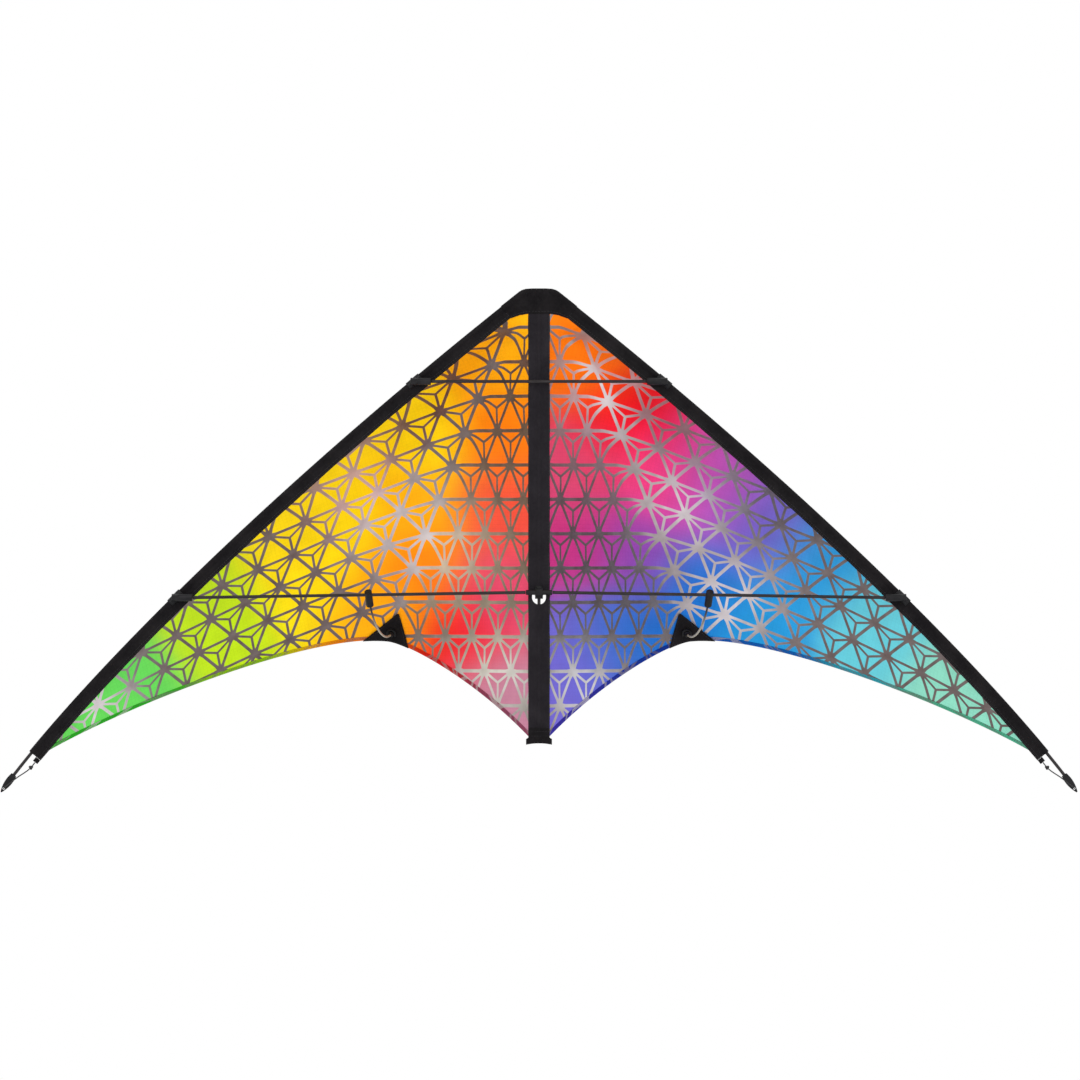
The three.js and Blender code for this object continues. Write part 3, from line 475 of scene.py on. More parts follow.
def ripstop_finish(name, star_in, layers=1.0, depth=1.0, foiled=1.0):
    """Dyed ripstop under the foil net, whose colour carries a painted reflection; each further layer of
    cloth deepens the dye.
    """
    material, tree, surface = new_material(name)
    place = map_place(tree)
    dye = node(tree, "ShaderNodeAttribute", attribute_name="dye").outputs["Color"]
    dye = node(tree, "ShaderNodeGamma", {"Color": dye, "Gamma": layers}).outputs[0]
    # The foil attribute is a painted reflection: how bright the foil's colour is painted at each point.
    painted_glint_tone = node(tree, "ShaderNodeAttribute", attribute_name="foil").outputs["Fac"]
    split = node(tree, "ShaderNodeSeparateXYZ", {0: place})
    threads = []
    for way in ("X", "Y"):
        line = calc(tree, "PINGPONG", split.outputs[way], RIPSTOP_PITCH / 2)
        threads.append(stretch(tree, line, RIPSTOP_THREAD, RIPSTOP_THREAD * 0.4))
    thick = calc(tree, "MAXIMUM", *threads)
    cloudy = stretch(tree, noise(tree, place, 38, 4), 0.3, 0.7, 0.93, 1.05)
    fine = stretch(tree, noise(tree, place, 700, 2), 0.3, 0.7, 0.96, 1.03)
    uneven = calc(tree, "MULTIPLY", cloudy, fine)
    shade = calc(tree, "MULTIPLY", uneven, stretch(tree, thick, 0, 1, 1, 0.93))
    shade = calc(tree, "MULTIPLY", shade, depth)
    dyed = node(tree, "ShaderNodeVectorMath", {0: dye, 3: shade}, operation="SCALE").outputs[0]
    # Painted reflection: the foil's colour runs from dark brown, as if it mirrored dark surroundings, to
    # pale silver at the painted glints, with a little noise; its metallic share and roughness add a real
    # reflection on top.
    painted_glint_noise = stretch(tree, noise(tree, place, 60, 5), 0.3, 0.7, -0.06, 0.06)
    painted_glint_tone = calc(tree, "POWER", calc(tree, "MAXIMUM", calc(tree, "ADD", painted_glint_tone, painted_glint_noise), 0.0), 1.6)
    painted_reflection = blend_colours(tree, painted_glint_tone, (0.070, 0.038, 0.030), (0.88, 0.82, 0.84))
    foil = calc(tree, "MULTIPLY", foil_net(tree, star_in), foiled)
    plug(
        tree, surface,
        Base_Color=blend_colours(tree, foil, dyed, painted_reflection),
        Metallic=calc(tree, "MULTIPLY", foil, 0.55),
        Roughness=stretch(tree, foil, 0, 1, 0.62, 0.38),
    )
    height = calc(tree, "ADD", calc(tree, "MULTIPLY", thick, 0.6), calc(tree, "MULTIPLY", foil, 0.4))
    relief(tree, surface, height, 0.10 * MM, 0.6)
    surface.inputs["Specular IOR Level"].default_value = 0.06
    surface.inputs["Sheen Weight"].default_value = 0.01
    return material


ripstop = {side: ripstop_finish(f"ripstop {side}", NET_IN[side]) for side, _ in SIDES}
doubled = {
    side: ripstop_finish(f"doubled ripstop {side}", NET_IN[side], layers=1.8, depth=0.70, foiled=0.45)
    for side, _ in SIDES
}
print("made", len(ripstop) + len(doubled), "ripstop finishes")

# %% [markdown]
# ### Pools of dye
# A pool is a place on the panel, seen from the front, and the dye there. Between pools the colours
# mix by distance, as wet dyes do, so a few pools are enough. A glint is a painted highlight: a place
# where the foil faces a light, so its colour is painted bright there; it is given by how far out and
# up it is, and how wide. Away from every glint the foil's colour is painted dark, as a reflection of
# dark surroundings.

# %% Dyes and where they were poured
DYES = {
    "yellow": (1.00, 0.88, 0.05), "amber": (1.00, 0.70, 0.05), "orange": (1.00, 0.50, 0.05),
    "coral": (0.95, 0.32, 0.25), "rose": (0.88, 0.30, 0.45), "red": (0.95, 0.05, 0.10),
    "lime": (0.75, 0.90, 0.10), "green": (0.40, 0.85, 0.35), "mauve": (0.75, 0.50, 0.60),
    "pink": (0.95, 0.25, 0.50), "orchid": (0.75, 0.35, 0.75), "magenta": (0.80, 0.20, 0.50),
    "purple": (0.55, 0.30, 0.70), "violet": (0.45, 0.40, 0.80), "blue": (0.10, 0.45, 0.80),
    "azure": (0.15, 0.60, 0.85), "aqua": (0.40, 0.80, 0.85), "mint": (0.55, 0.85, 0.75),
}
POOLS = {
    "left": [
        (0.05, 0.30, "amber"), (0.05, 0.20, "orange"), (0.15, 0.20, "yellow"), (0.05, 0.10, "coral"),
        (0.15, 0.10, "amber"), (0.25, 0.10, "yellow"), (0.05, 0.00, "rose"), (0.15, 0.03, "orange"),
        (0.10, -0.05, "red"), (0.20, -0.02, "amber"), (0.30, 0.02, "yellow"), (0.05, -0.13, "mauve"),
        (0.40, -0.03, "lime"), (0.53, -0.12, "green"),
    ],
    "right": [
        (0.05, 0.30, "orange"), (0.10, 0.22, "red"), (0.05, 0.15, "rose"), (0.15, 0.15, "pink"),
        (0.22, 0.13, "orchid"), (0.05, 0.06, "magenta"), (0.12, 0.05, "purple"), (0.28, 0.08, "violet"),
        (0.05, -0.07, "violet"), (0.10, -0.05, "blue"), (0.20, 0.00, "blue"), (0.35, 0.03, "azure"),
        (0.28, -0.04, "azure"), (0.42, -0.04, "aqua"), (0.53, -0.12, "mint"),
    ],
}
POOL_REACH = 0.035
# Painted glints: places where the foil's colour is painted bright, as if it faced a light; each is how far
# out, how far up and how wide.
PAINTED_GLINTS = {
    "left": [(0.12, 0.05, 0.05), (0.22, 0.12, 0.05), (0.05, -0.10, 0.05), (0.55, -0.15, 0.04)],
    "right": [(0.08, 0.26, 0.06), (0.19, 0.12, 0.05), (0.24, -0.01, 0.05), (0.05, -0.12, 0.04)],
}
# The foil's painted reflection tone away from every glint, and at a glint's centre.
PAINTED_FOIL_DARK, PAINTED_FOIL_BRIGHT = 0.25, 0.85


def linear_colour(display):
    """A colour as a screen shows it, turned to light, which is what a material mixes."""
    display = np.array(display)
    return np.where(display < 0.04045, display / 12.92, ((display + 0.055) / 1.055) ** 2.4)


def pour(points, side):
    """The dye and the foil's painted reflection tone at each point, mixed from the pools and the painted
    glints round it.
    """
    places = np.array([pool[:2] for pool in POOLS[side]])
    colours = np.array([linear_colour(DYES[pool[2]]) for pool in POOLS[side]])
    gaps = np.linalg.norm(points[:, None, [0, 2]] - places[None], axis=2)
    nearest = gaps.min(1, keepdims=True)
    weight = np.exp((nearest**2 - gaps**2) / (2 * POOL_REACH**2))
    weight /= weight.sum(1, keepdims=True)
    # The foil's painted reflection: dark away from every glint, bright at one.
    dark = np.ones(len(points))
    for x, z, reach in PAINTED_GLINTS[side]:
        away = np.hypot(points[:, 0] - x, points[:, 2] - z)
        dark *= 1 - np.exp(-(away / reach) ** 2 / 2)
    return weight @ colours, PAINTED_FOIL_BRIGHT + (PAINTED_FOIL_DARK - PAINTED_FOIL_BRIGHT) * dark


def set_dye(made, points, side):
    """Stores the dye and the foil's painted reflection tone on a panel; points are its places on the right
    wing.
    """
    colours, painted_glint_tones = pour(points, side)
    rgba = np.concatenate([colours, np.ones((len(colours), 1))], 1).astype(np.float32)
    made.data.attributes.new("dye", "FLOAT_COLOR", "POINT").data.foreach_set("color", rgba.ravel())
    made.data.attributes.new("foil", "FLOAT", "POINT").data.foreach_set("value", painted_glint_tones.astype(np.float32))


print("dyes:", len(DYES), "pools:", {side: len(POOLS[side]) for side in POOLS})

# %% [markdown]
# ## The wing's own lines
# Everything on a wing hangs on two lines: the leading edge, which bows outwards from the nose to
# the tip, and the trailing edge, two scallops that meet at the standoff. They repeat the frame's
# own curves, so that each cloth lands on its rod.

# %% Curves measured by length
def vec(x, y, z):
    return np.array([x, y, z], float)


class Bezier:
    """A cubic curve that is read by distance along it."""

    def __init__(self, *corners, samples=800):
        a, b, c, d = corners
        w = np.linspace(0, 1, samples)[:, None]
        u = 1 - w
        self.places = a * u**3 + 3 * b * u * u * w + 3 * c * u * w * w + d * w**3
        steps = np.linalg.norm(np.diff(self.places, axis=0), axis=1)
        self.distances = np.concatenate([[0], np.cumsum(steps)])
        self.length = self.distances[-1]

    def at(self, distance):
        axes = [np.interp(distance, self.distances, self.places[:, k]) for k in range(3)]
        return np.stack(axes, -1)


def down_slope(degrees, length):
    return vec(np.cos(np.radians(degrees)), 0, -np.sin(np.radians(degrees))) * length


edge_start = vec(18.5, 0, 375.5) * MM
edge_tip = vec(672.5, 0, -249.5) * MM
edge_chord = np.linalg.norm(edge_tip - edge_start)
edge = Bezier(
    edge_start,
    edge_start + down_slope(38.3, 0.5 * edge_chord),
    edge_tip - down_slope(54, 0.15 * edge_chord),
    edge_tip,
)
SLEEVE_STOP = 62 * MM
sleeve_end = edge.length - SLEEVE_STOP


def edge_point(distance, outward_by=0.0, back=0.0):
    """A place along the edge, out from the rod's axis in the wing's plane, and back."""
    distance, outward_by, back = np.broadcast_arrays(distance, outward_by, back)
    reach = 0.2 * MM
    low = np.clip(distance - reach / 2, 0, edge.length - reach)
    along = edge.at(low + reach) - edge.at(low)
    along /= np.linalg.norm(along, axis=-1, keepdims=True)
    across = np.stack([-along[..., 2], 0 * back, along[..., 0]], -1)
    place = edge.at(distance) + across * outward_by[..., None]
    place[..., 1] += back
    return place


print(f"leading edge {edge.length / MM:.0f} mm, its sleeve ends at {sleeve_end / MM:.0f} mm")

# %% Trailing edge and sail surface
SEAM_X = 12.2 * MM  # the cloth's inner edge, inside the spine sleeve
APEX_Z = 360 * MM
TAIL_DROP = 181 * MM
STANDOFF_X = 192.5 * MM
BILLOW = 185 * MM
RIDGE_DROP = 62 * MM
SEAM_IN = 13 * MM  # the cloth's outer edge, between the two layers of the sleeve
TIP_INSET = 12 * MM
SAIL_TOP = 0.0244
ARCH_DEPTH, ARCH_SKEW, ARCH_END = 0.38, 0.87, 0.3


def between(a, b, x, y, z):
    return a + (b - a) * vec(x, y, z)


apex = vec(SEAM_X, 0, APEX_Z)
tail_corner = vec(SEAM_X, 0, -TAIL_DROP)
ridge_foot = vec(STANDOFF_X, BILLOW, -RIDGE_DROP)
sail_corner = edge_point(sleeve_end - TIP_INSET, -SEAM_IN)
inner_scallop = Bezier(
    tail_corner,
    between(tail_corner, ridge_foot, 0.37, 0.39, 0.58),
    between(tail_corner, ridge_foot, 0.84, 0.99, 0.97),
    ridge_foot,
)
outer_scallop = Bezier(
    ridge_foot,
    between(ridge_foot, sail_corner, 0.23, 0.04, -0.07),
    between(ridge_foot, sail_corner, 0.77, 0.73, 0.59),
    sail_corner,
)
trail_length = inner_scallop.length + outer_scallop.length
ridge_share = inner_scallop.length / trail_length


def trailing(across):
    distance = np.asarray(across, float) * trail_length
    inside = (distance < inner_scallop.length)[..., None]
    return np.where(inside, inner_scallop.at(distance), outer_scallop.at(distance - inner_scallop.length))


def smooth_step(value, low, high):
    share = np.clip((value - low) / (high - low), 0, 1)
    return share * share * (3 - 2 * share)


def outer_seam(down):
    start, end = 36 * MM, sleeve_end - TIP_INSET
    return edge_point(start + (end - start) * (down - SAIL_TOP) / (1 - SAIL_TOP), -SEAM_IN)


def sail_point(across, down):
    """The sail's middle surface: across from the spine to the edge, down from the nose."""
    across, down = np.broadcast_arrays(np.asarray(across, float), np.asarray(down, float))
    place = apex + (trailing(across) - apex) * down[..., None]
    seam = outer_seam(down)
    straight = apex + (sail_corner - apex) * down[..., None]
    place = place + (seam - straight) * (across**3)[..., None]
    width = seam[..., 0] - SEAM_X
    share = np.clip((place[..., 0] - SEAM_X) / width, 0, 1)
    arch = ARCH_DEPTH * width * np.sin(np.pi * share**ARCH_SKEW) * smooth_step(down, 0.01, 0.12)
    place[..., 1] = arch + (place[..., 1] - arch) * smooth_step(down, ARCH_END, 1)
    return place


def sail_facing(across, down):
    """The direction that the sail's front faces."""
    across, down = np.broadcast_arrays(np.asarray(across, float), np.asarray(down, float))
    step = 0.003
    a, d = np.minimum(across, 1 - step), np.minimum(down, 1 - step)
    here = sail_point(a, d)
    facing = np.cross(sail_point(a, d + step) - here, sail_point(a + step, d) - here)
    return facing / np.linalg.norm(facing, axis=-1, keepdims=True)


print(f"trailing edge {trail_length / MM:.0f} mm, the standoff at {100 * ridge_share:.0f}% of it")

# %% [markdown]
# ## The sails
# A sail bends like a cone: every line from the nose to the trailing edge is nearly straight. So its
# flat map is the unrolled cone. A point keeps its share of its own line from the nose, and the
# angle between lines adds up from the spine. The print then lies on the cloth as it was printed
# flat. The cloth is a fine grid with a few soft creases, pushed along the way the sail faces.

# %% Flat map of the sail
LINES = 401


def unrolled(across, down):
    """Where a point of the sail was on the flat cloth, from the nose: along the rows, and down."""
    marks = np.linspace(0, 1, LINES)
    lines = trailing(marks) - apex
    reach = np.linalg.norm(lines, axis=1)
    turns = lines / reach[:, None]
    step = np.arccos(np.clip((turns[1:] * turns[:-1]).sum(1), -1, 1))
    angle = np.interp(across, marks, np.concatenate([[0], np.cumsum(step)]))
    far = down * np.interp(across, marks, reach)
    return np.stack([far * np.sin(angle), far * np.cos(angle)], -1)


probe = unrolled(np.array([[0.0], [1.0]]), np.array([[1.0], [1.0]]))
print("flat corners, mm:", np.round(probe.reshape(2, 2) / MM).tolist())

# %% Creases in the cloth
HEM_WIDTH = 5.5 * MM


def hem_top(across):
    """How far down the hem begins, so that the hem is as wide everywhere."""
    step = 0.004
    a = np.clip(across, step, 1 - step)
    ray = trailing(a) - apex
    along = trailing(a + step) - trailing(a - step)
    along /= np.linalg.norm(along, axis=-1, keepdims=True)
    reach = np.linalg.norm(ray, axis=-1)
    slant = np.linalg.norm(np.cross(ray / reach[..., None], along), axis=-1)
    return 1 - HEM_WIDTH / (slant * reach)


def creases(across, down):
    """Soft waves: puckers along both seams, and folds that fan out from the standoff's pull."""
    place = sail_point(across, down)
    along = down * 0.54
    spine_pucker = np.sin(along / (9 * MM)) * np.exp(-(place[..., 0] - SEAM_X) / (14 * MM))
    out = outer_seam(down)[..., 0] - place[..., 0]
    edge_pucker = np.sin(along / (7 * MM) + 1.1) * np.exp(-np.clip(out, 0, 1) / (16 * MM))
    away = np.hypot(place[..., 0] - STANDOFF_X, place[..., 2] + RIDGE_DROP)
    angle = np.arctan2(place[..., 2] + RIDGE_DROP, place[..., 0] - STANDOFF_X)
    fan = np.sin(angle * 9) * np.exp(-away / (70 * MM)) * smooth_step(away, 32 * MM, 60 * MM)
    drift = np.sin(place[..., 0] * 41 + place[..., 2] * 23) * np.sin(place[..., 2] * 37 - 0.6)
    calm = smooth_step(1 - down, 0, 0.05)
    return (0.5 * spine_pucker + 0.5 * edge_pucker + 1.3 * fan + 1.0 * drift) * MM * calm


print("hem starts at", np.round(hem_top(np.array([0.1, 0.5, 0.9])), 4))

# %% Two sails
SAIL_COLUMNS = 230
SAIL_ROWS = 150
CLOTH_HALF = 0.13 * MM
FOLD_FROM, FOLD_TO = 12.4 * MM, 15.6 * MM  # the cloth turns at the hinge between these


def spread(columns):
    """Stations across the sail, closer together near the ridge."""
    inner = int(columns * 0.42)
    near = ridge_share * (1 - (1 - np.linspace(0, 1, inner, endpoint=False)) ** 1.25)
    far = ridge_share + (1 - ridge_share) * np.linspace(0, 1, columns - inner) ** 1.15
    return np.concatenate([near, far])


def make_sail(side, sign):
    across = spread(SAIL_COLUMNS)[:, None] * np.ones((1, SAIL_ROWS))
    share = np.linspace(0, 1, SAIL_ROWS)[None]
    top = 0.008
    down = top + (hem_top(across[:, :1]) - top) * share
    middle = sail_point(across, down)
    facing = sail_facing(across, down)
    middle = middle + facing * creases(across, down)[..., None]
    front, back = middle + facing * CLOTH_HALF, middle - facing * CLOTH_HALF
    made = two_layers(f"sail_{side}_cloth", front, back, ripstop[side], sign)
    both = np.concatenate([middle.reshape(-1, 3)] * 2)
    set_map(made, np.concatenate([unrolled(across, down).reshape(-1, 2)] * 2))
    set_dye(made, both, side)
    return made


sails = {side: make_sail(side, sign) for side, sign in SIDES}
for side, sign in SIDES:
    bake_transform(sails[side])
    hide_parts(f"sail_{side}")
    print(side, "sail:", len(sails[side].data.polygons), "faces")

# %% [markdown]
# ## The hems
# The trailing edge is turned up and sewn, so a narrow band shows the back of the same print, darker
# because it is doubled. The band is a strip with a round fold at its lower edge. Its flat map runs
# back on itself from the edge, as the turned cloth does.

# %% Trailing hems
HEM_HALF = 0.55 * MM
HEM_INNER = 0.32 * MM
HEM_COLUMNS = 340


def hem_section():
    """Share of the hem's width and lift of each point round the folded strip."""
    turn = np.linspace(np.pi / 2, -np.pi / 2, 9)
    outer = [(0.88 + 0.12 * np.cos(angle), HEM_HALF * np.sin(angle)) for angle in turn]
    inner = [(0.80 + 0.10 * np.cos(angle), HEM_INNER * np.sin(angle)) for angle in turn[::-1]]
    outer = [(0.02, HEM_HALF), (0.4, HEM_HALF), *outer, (0.4, -HEM_HALF), (0.02, -HEM_HALF)]
    inner = [(0.02, -HEM_INNER), (0.4, -HEM_INNER), *inner, (0.4, HEM_INNER), (0.02, HEM_INNER)]
    return outer + inner


def make_hem(side, sign):
    across = spread(HEM_COLUMNS)
    start = hem_top(across)
    rings, maps, middles = [], [], []
    for share, lift in hem_section():
        down = start + (1 - start) * share
        middle = sail_point(across, down)
        rings.append(middle + sail_facing(across, down) * lift)
        middles.append(middle)
        maps.append(unrolled(across[:, None], (2 - down)[:, None])[:, 0])
    made = sweep_rings(f"trailing_hem_{side}_cloth", np.stack(rings, 1), doubled[side], sign)
    set_map(made, np.stack(maps, 1).reshape(-1, 2))
    set_dye(made, np.stack(middles, 1).reshape(-1, 3), side)
    return made


hems = {side: make_hem(side, sign) for side, sign in SIDES}
for side, sign in SIDES:
    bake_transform(hems[side])
    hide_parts(f"trailing_hem_{side}")
print("hem band", HEM_WIDTH / MM, "mm wide")

# %% [markdown]
# ## Rods
# Four straight spreaders, the spine and the leading edges are all round rods, so one helper sweeps
# a circle along any path, with a small bevel at both ends, and gives it a map that runs along it.

# %% Round bars along a path
ROD_RADIUS = 2.0 * MM


def path_frames(path):
    """Two directions square to a path at each of its points."""
    along = np.gradient(path, axis=0)
    along /= np.linalg.norm(along, axis=1, keepdims=True)
    first = np.cross(along, vec(0, 1, 0))
    flat = np.linalg.norm(first, axis=1) < 0.2
    first[flat] = np.cross(along[flat], vec(1, 0, 0))
    first /= np.linalg.norm(first, axis=1, keepdims=True)
    return first, np.cross(along, first)


def round_bar(name, path, radius, material, side=1, sides=20, bevel=0.35 * MM):
    path = np.asarray(path, float)
    lengths = np.concatenate([[0], np.linalg.norm(np.diff(path, axis=0), axis=1).cumsum()])
    first, second = path_frames(path)
    ends = np.minimum(lengths, lengths[-1] - lengths)
    radii = np.where(ends < 1e-7, radius - bevel, radius)
    turn = np.linspace(0, 2 * np.pi, sides, endpoint=False)
    ring = first[:, None] * np.cos(turn)[None, :, None] + second[:, None] * np.sin(turn)[None, :, None]
    rings = path[:, None] + ring * radii[:, None, None]
    made = sweep_rings(name, rings, material, side)
    around = np.broadcast_to(turn / (2 * np.pi), rings.shape[:2])
    along = np.broadcast_to(lengths[:, None], rings.shape[:2])
    set_map(made, np.stack([around, along], -1).reshape(-1, 2))
    return made


def straight(start, end, steps=24, bevel=0.35 * MM):
    """Points from start to end, with one a bevel's length in from each end."""
    start, end = np.asarray(start, float), np.asarray(end, float)
    length = np.linalg.norm(end - start)
    inset = bevel / length
    shares = np.concatenate([[0], np.linspace(inset, 1 - inset, steps), [1]])
    return start + (end - start) * shares[:, None]


def settle(made, body, node_name):
    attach(made, body)
    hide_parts(node_name)
    return made


print("rods are", 2 * ROD_RADIUS / MM, "mm round")

# %% Spine, spreaders and leading-edge rods
SPREADER_Y = -9 * MM
UPPER_Z = 263.6 * MM

low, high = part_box("spine_rod")
spine_rod = round_bar("spine_rod_bar", straight((0, 0, low.z), (0, 0, high.z)), ROD_RADIUS, fibreglass)
settle(spine_rod, "spine", "spine_rod")

low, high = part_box("upper_spreader_rod")
path = straight((low.x, SPREADER_Y, UPPER_Z), (high.x, SPREADER_Y, UPPER_Z))
upper_rod = round_bar("upper_spreader_bar", path, ROD_RADIUS, fibreglass)
settle(upper_rod, "upper_spreader", "upper_spreader_rod")

TEE_MOUTH = vec(16.8, -9, 0) * MM
lower_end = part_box("lower_spreader_rod_right")[1]
LOWER_MOUTH = vec(lower_end.x, SPREADER_Y, -6.5 * MM)
ROD_TOP, ROD_TIP = 4 * MM, 14 * MM
FERRULE_AT = 0.52 * edge.length
GAP = 0.3 * MM
EDGE_RODS = (
    ("upper", ROD_TOP, FERRULE_AT - GAP),
    ("lower", FERRULE_AT + GAP, edge.length - ROD_TIP),
)

for side, sign in SIDES:
    path = straight(TEE_MOUTH, LOWER_MOUTH)
    rod = round_bar(f"lower_spreader_bar_{side}", path, ROD_RADIUS, fibreglass, sign)
    settle(rod, f"lower_spreader_{side}", f"lower_spreader_rod_{side}")
    for half, start, end in EDGE_RODS:
        path = edge_point(np.linspace(start, end, 60))
        rod = round_bar(f"leading_edge_bar_{half}_{side}", path, ROD_RADIUS, fibreglass, sign, sides=16)
        settle(rod, f"wing_{side}", f"leading_edge_rod_{half}_{side}")
print("spreader mouths, mm:", np.round(TEE_MOUTH / MM, 1), np.round(LOWER_MOUTH / MM, 1))

# %% [markdown]
# ## Standoffs
# A standoff is a thin bare glass rod. It leaves its rubber holder on the lower spreader downwards,
# and bends back to a small foot on the sail, which it pushes out into a belly.

# %% Standoff rods
STANDOFF_RADIUS = 1.25 * MM
holder_share = (STANDOFF_X + 20.5 * MM - TEE_MOUTH[0]) / (LOWER_MOUTH[0] - TEE_MOUTH[0])
holder_centre = TEE_MOUTH + (LOWER_MOUTH - TEE_MOUTH) * holder_share
holder_aim = vec(-0.1, 0.64, -0.76)
holder_aim /= np.linalg.norm(holder_aim)
foot_facing = sail_facing(ridge_share, 0.97)


def foot_middle():
    """The ball's centre, a radius in from the far corner of the foot's box."""
    low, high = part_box("standoff_foot_right")
    ball = 3.5 * MM
    return vec(high.x - ball, high.y - ball, low.z + ball)


foot_centre = foot_middle()
standoff_line = Bezier(
    holder_centre + holder_aim * 7 * MM,
    holder_centre + holder_aim * 48 * MM,
    between(holder_centre, foot_centre, 0.61, 0.68, 1.22),
    foot_centre,
)
for side, sign in SIDES:
    path = standoff_line.at(np.linspace(0, standoff_line.length, 70))
    name = f"standoff_bar_{side}"
    rod = round_bar(name, path, STANDOFF_RADIUS, glass_painted_light, sign, sides=14, bevel=0.2 * MM)
    settle(rod, f"standoff_{side}", f"standoff_rod_{side}")
print("standoff", round(standoff_line.length / MM), "mm long, foot at", np.round(foot_centre / MM, 1))

# %% [markdown]
# ## Mouldings
# The cross, connectors, holders, feet, seats and nocks are soft vinyl with rounded corners. Their
# frame shapes are right but crisp. A fine voxel remesh turns a copy of each into one even skin, and
# a few passes of smoothing round its corners, as a mould's fillets do.

# %% Soft skins over the frame's mouldings
def moulded(node_name, body, material, voxel, passes=5):
    shape = bmesh.new()
    shape.from_mesh(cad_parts[node_name].data)
    bmesh.ops.remove_doubles(shape, verts=shape.verts, dist=1e-6)
    mesh = bpy.data.meshes.new(node_name)
    shape.to_mesh(mesh)
    shape.free()
    mesh.materials.append(material)
    made = link(f"{node_name}_moulding", mesh)
    skin = made.modifiers.new("skin", "REMESH")
    skin.mode = "VOXEL"
    skin.voxel_size = voxel
    soften = made.modifiers.new("soften", "SMOOTH")
    soften.factor = 0.5
    soften.iterations = passes
    apply_modifiers(made)
    made.data.shade_smooth()
    return settle(made, body, node_name)


moulded("centre_tee", "spine", vinyl, 0.40 * MM)
for side, sign in SIDES:
    wing = f"wing_{side}"
    for level in ("upper", "lower"):
        moulded(f"{level}_connector_{side}", wing, vinyl, 0.42 * MM)
    moulded(f"standoff_holder_{side}", f"standoff_{side}", vinyl, 0.36 * MM)
    moulded(f"standoff_foot_{side}", f"standoff_{side}", vinyl, 0.28 * MM)
    moulded(f"standoff_seat_{side}", wing, vinyl, 0.22 * MM)
    moulded(f"tip_nock_{side}", wing, vinyl, 0.36 * MM)
    moulded(f"tip_tab_{side}", wing, webbing, 0.25 * MM)

# %% [markdown]
# ## Tapes and patches
# The sleeves and corner patches are cloth wrapped over the rods: flat at the seams and round over
# what they cover. Each is a closed sheet whose half thickness is a rule of the distance from the
# rod, rounded where bump and flat meet. The rods' tunnels and the cut-outs are then taken out.

# %% Half thickness of a wrapped tape
def wrapped(distance, flat, bump, reach):
    """flat away from a rod, bump over it, with a soft foot that is reach wide."""
    return flat + (bump - flat) * np.exp(-(np.abs(distance) / reach) ** 2.4)


def wander(a, b, size):
    """A small, slow unevenness that repeats the same way every time."""
    return size * (np.sin(a * 61 + b * 17) + 0.6 * np.sin(a * 143 - b * 88 + 1.3)) / 1.6


def flat_sheet(name, x, z, half, material, side=1):
    front = np.stack([x, -half, z], -1)
    back = np.stack([x, half, z], -1)
    return two_layers(name, front, back, material, side)


TAPE_HALF = 0.55 * MM
print("half thickness over a rod:", round(float(wrapped(0, TAPE_HALF, 2.9 * MM, 3 * MM)) / MM, 2), "mm")

# %% Spine sleeve
SPINE_HALF = 13.5 * MM
SLEEVE_TOP = 351.8 * MM
TAIL_LINE = -171.7 * MM
MOON_HALF = 8.6 * MM
MOON_TOP, MOON_LEVEL = 2.6 * MM, -6.4 * MM
TEE_HALF, TEE_TOP = 4.6 * MM, 7.8 * MM

z = np.linspace(TAIL_LINE, SLEEVE_TOP, 300)[:, None]
share = np.linspace(-1, 1, 61)[None]
x = share * (SPINE_HALF + wander(z, 0.4, 0.25 * MM))
half = wrapped(x, TAPE_HALF, 2.9 * MM, 3.1 * MM) + np.abs(wander(z, x * 30, 0.12 * MM)) * (1 - share**4)
spine_sleeve = flat_sheet("spine_sleeve_cloth", x, z + 0 * x, half, polyester)
tunnel = round_bar("tunnel", straight((0, 0, TAIL_LINE - MM), (0, 0, SLEEVE_TOP + MM)), 2.3 * MM, polyester)
turn = np.linspace(0, -np.pi, 40)
moon = np.concatenate([
    [[TEE_HALF, TEE_TOP], [TEE_HALF, MOON_TOP], [MOON_HALF, MOON_TOP]],
    np.stack([MOON_HALF * np.cos(turn), MOON_LEVEL + MOON_HALF * np.sin(turn)], -1),
    [[-MOON_HALF, MOON_TOP], [-TEE_HALF, MOON_TOP], [-TEE_HALF, TEE_TOP]],
])
layers = [np.insert(moon, 1, y, axis=1) for y in (-6 * MM, 6 * MM)]
window = sweep_rings("window", layers, polyester)
cut(spine_sleeve, tunnel, window)
settle(spine_sleeve, "spine", "spine_sleeve")
print("spine sleeve:", len(spine_sleeve.data.polygons), "faces")

# %% Leading-edge sleeves
SLEEVE_OUT = 3.6 * MM
SLEEVE_IN = 15 * MM
SLEEVE_FROM = 30 * MM  # tucked under the nose patch
TUNNEL = 3.1 * MM
CONNECTOR_HALF = 9.7 * MM


def edge_distance_at(height):
    """Distance along the edge where it passes a height."""
    return float(np.interp(-height, -edge.places[:, 2], edge.distances))


connector_at = {"upper": edge_distance_at(UPPER_Z), "lower": edge_distance_at(-6.5 * MM)}


def sleeve_section(distance):
    """Out and back of the folded tape's outline, round from its front seam edge to its back one."""
    flat = np.linspace(-SLEEVE_IN, 0, 26)
    round_half = np.linspace(np.pi / 2, -np.pi / 2, 15)[1:-1]
    lift = wrapped(flat, 0.6 * MM, SLEEVE_OUT, 3.4 * MM) + np.abs(wander(distance, flat * 40, 0.16 * MM))
    reach = flat * (1 + wander(distance, 0.2, 0.012))
    out = np.concatenate([reach, SLEEVE_OUT * np.cos(round_half), reach[::-1]])
    back = np.concatenate([-lift, -SLEEVE_OUT * np.sin(round_half), lift[::-1]])
    return out, back


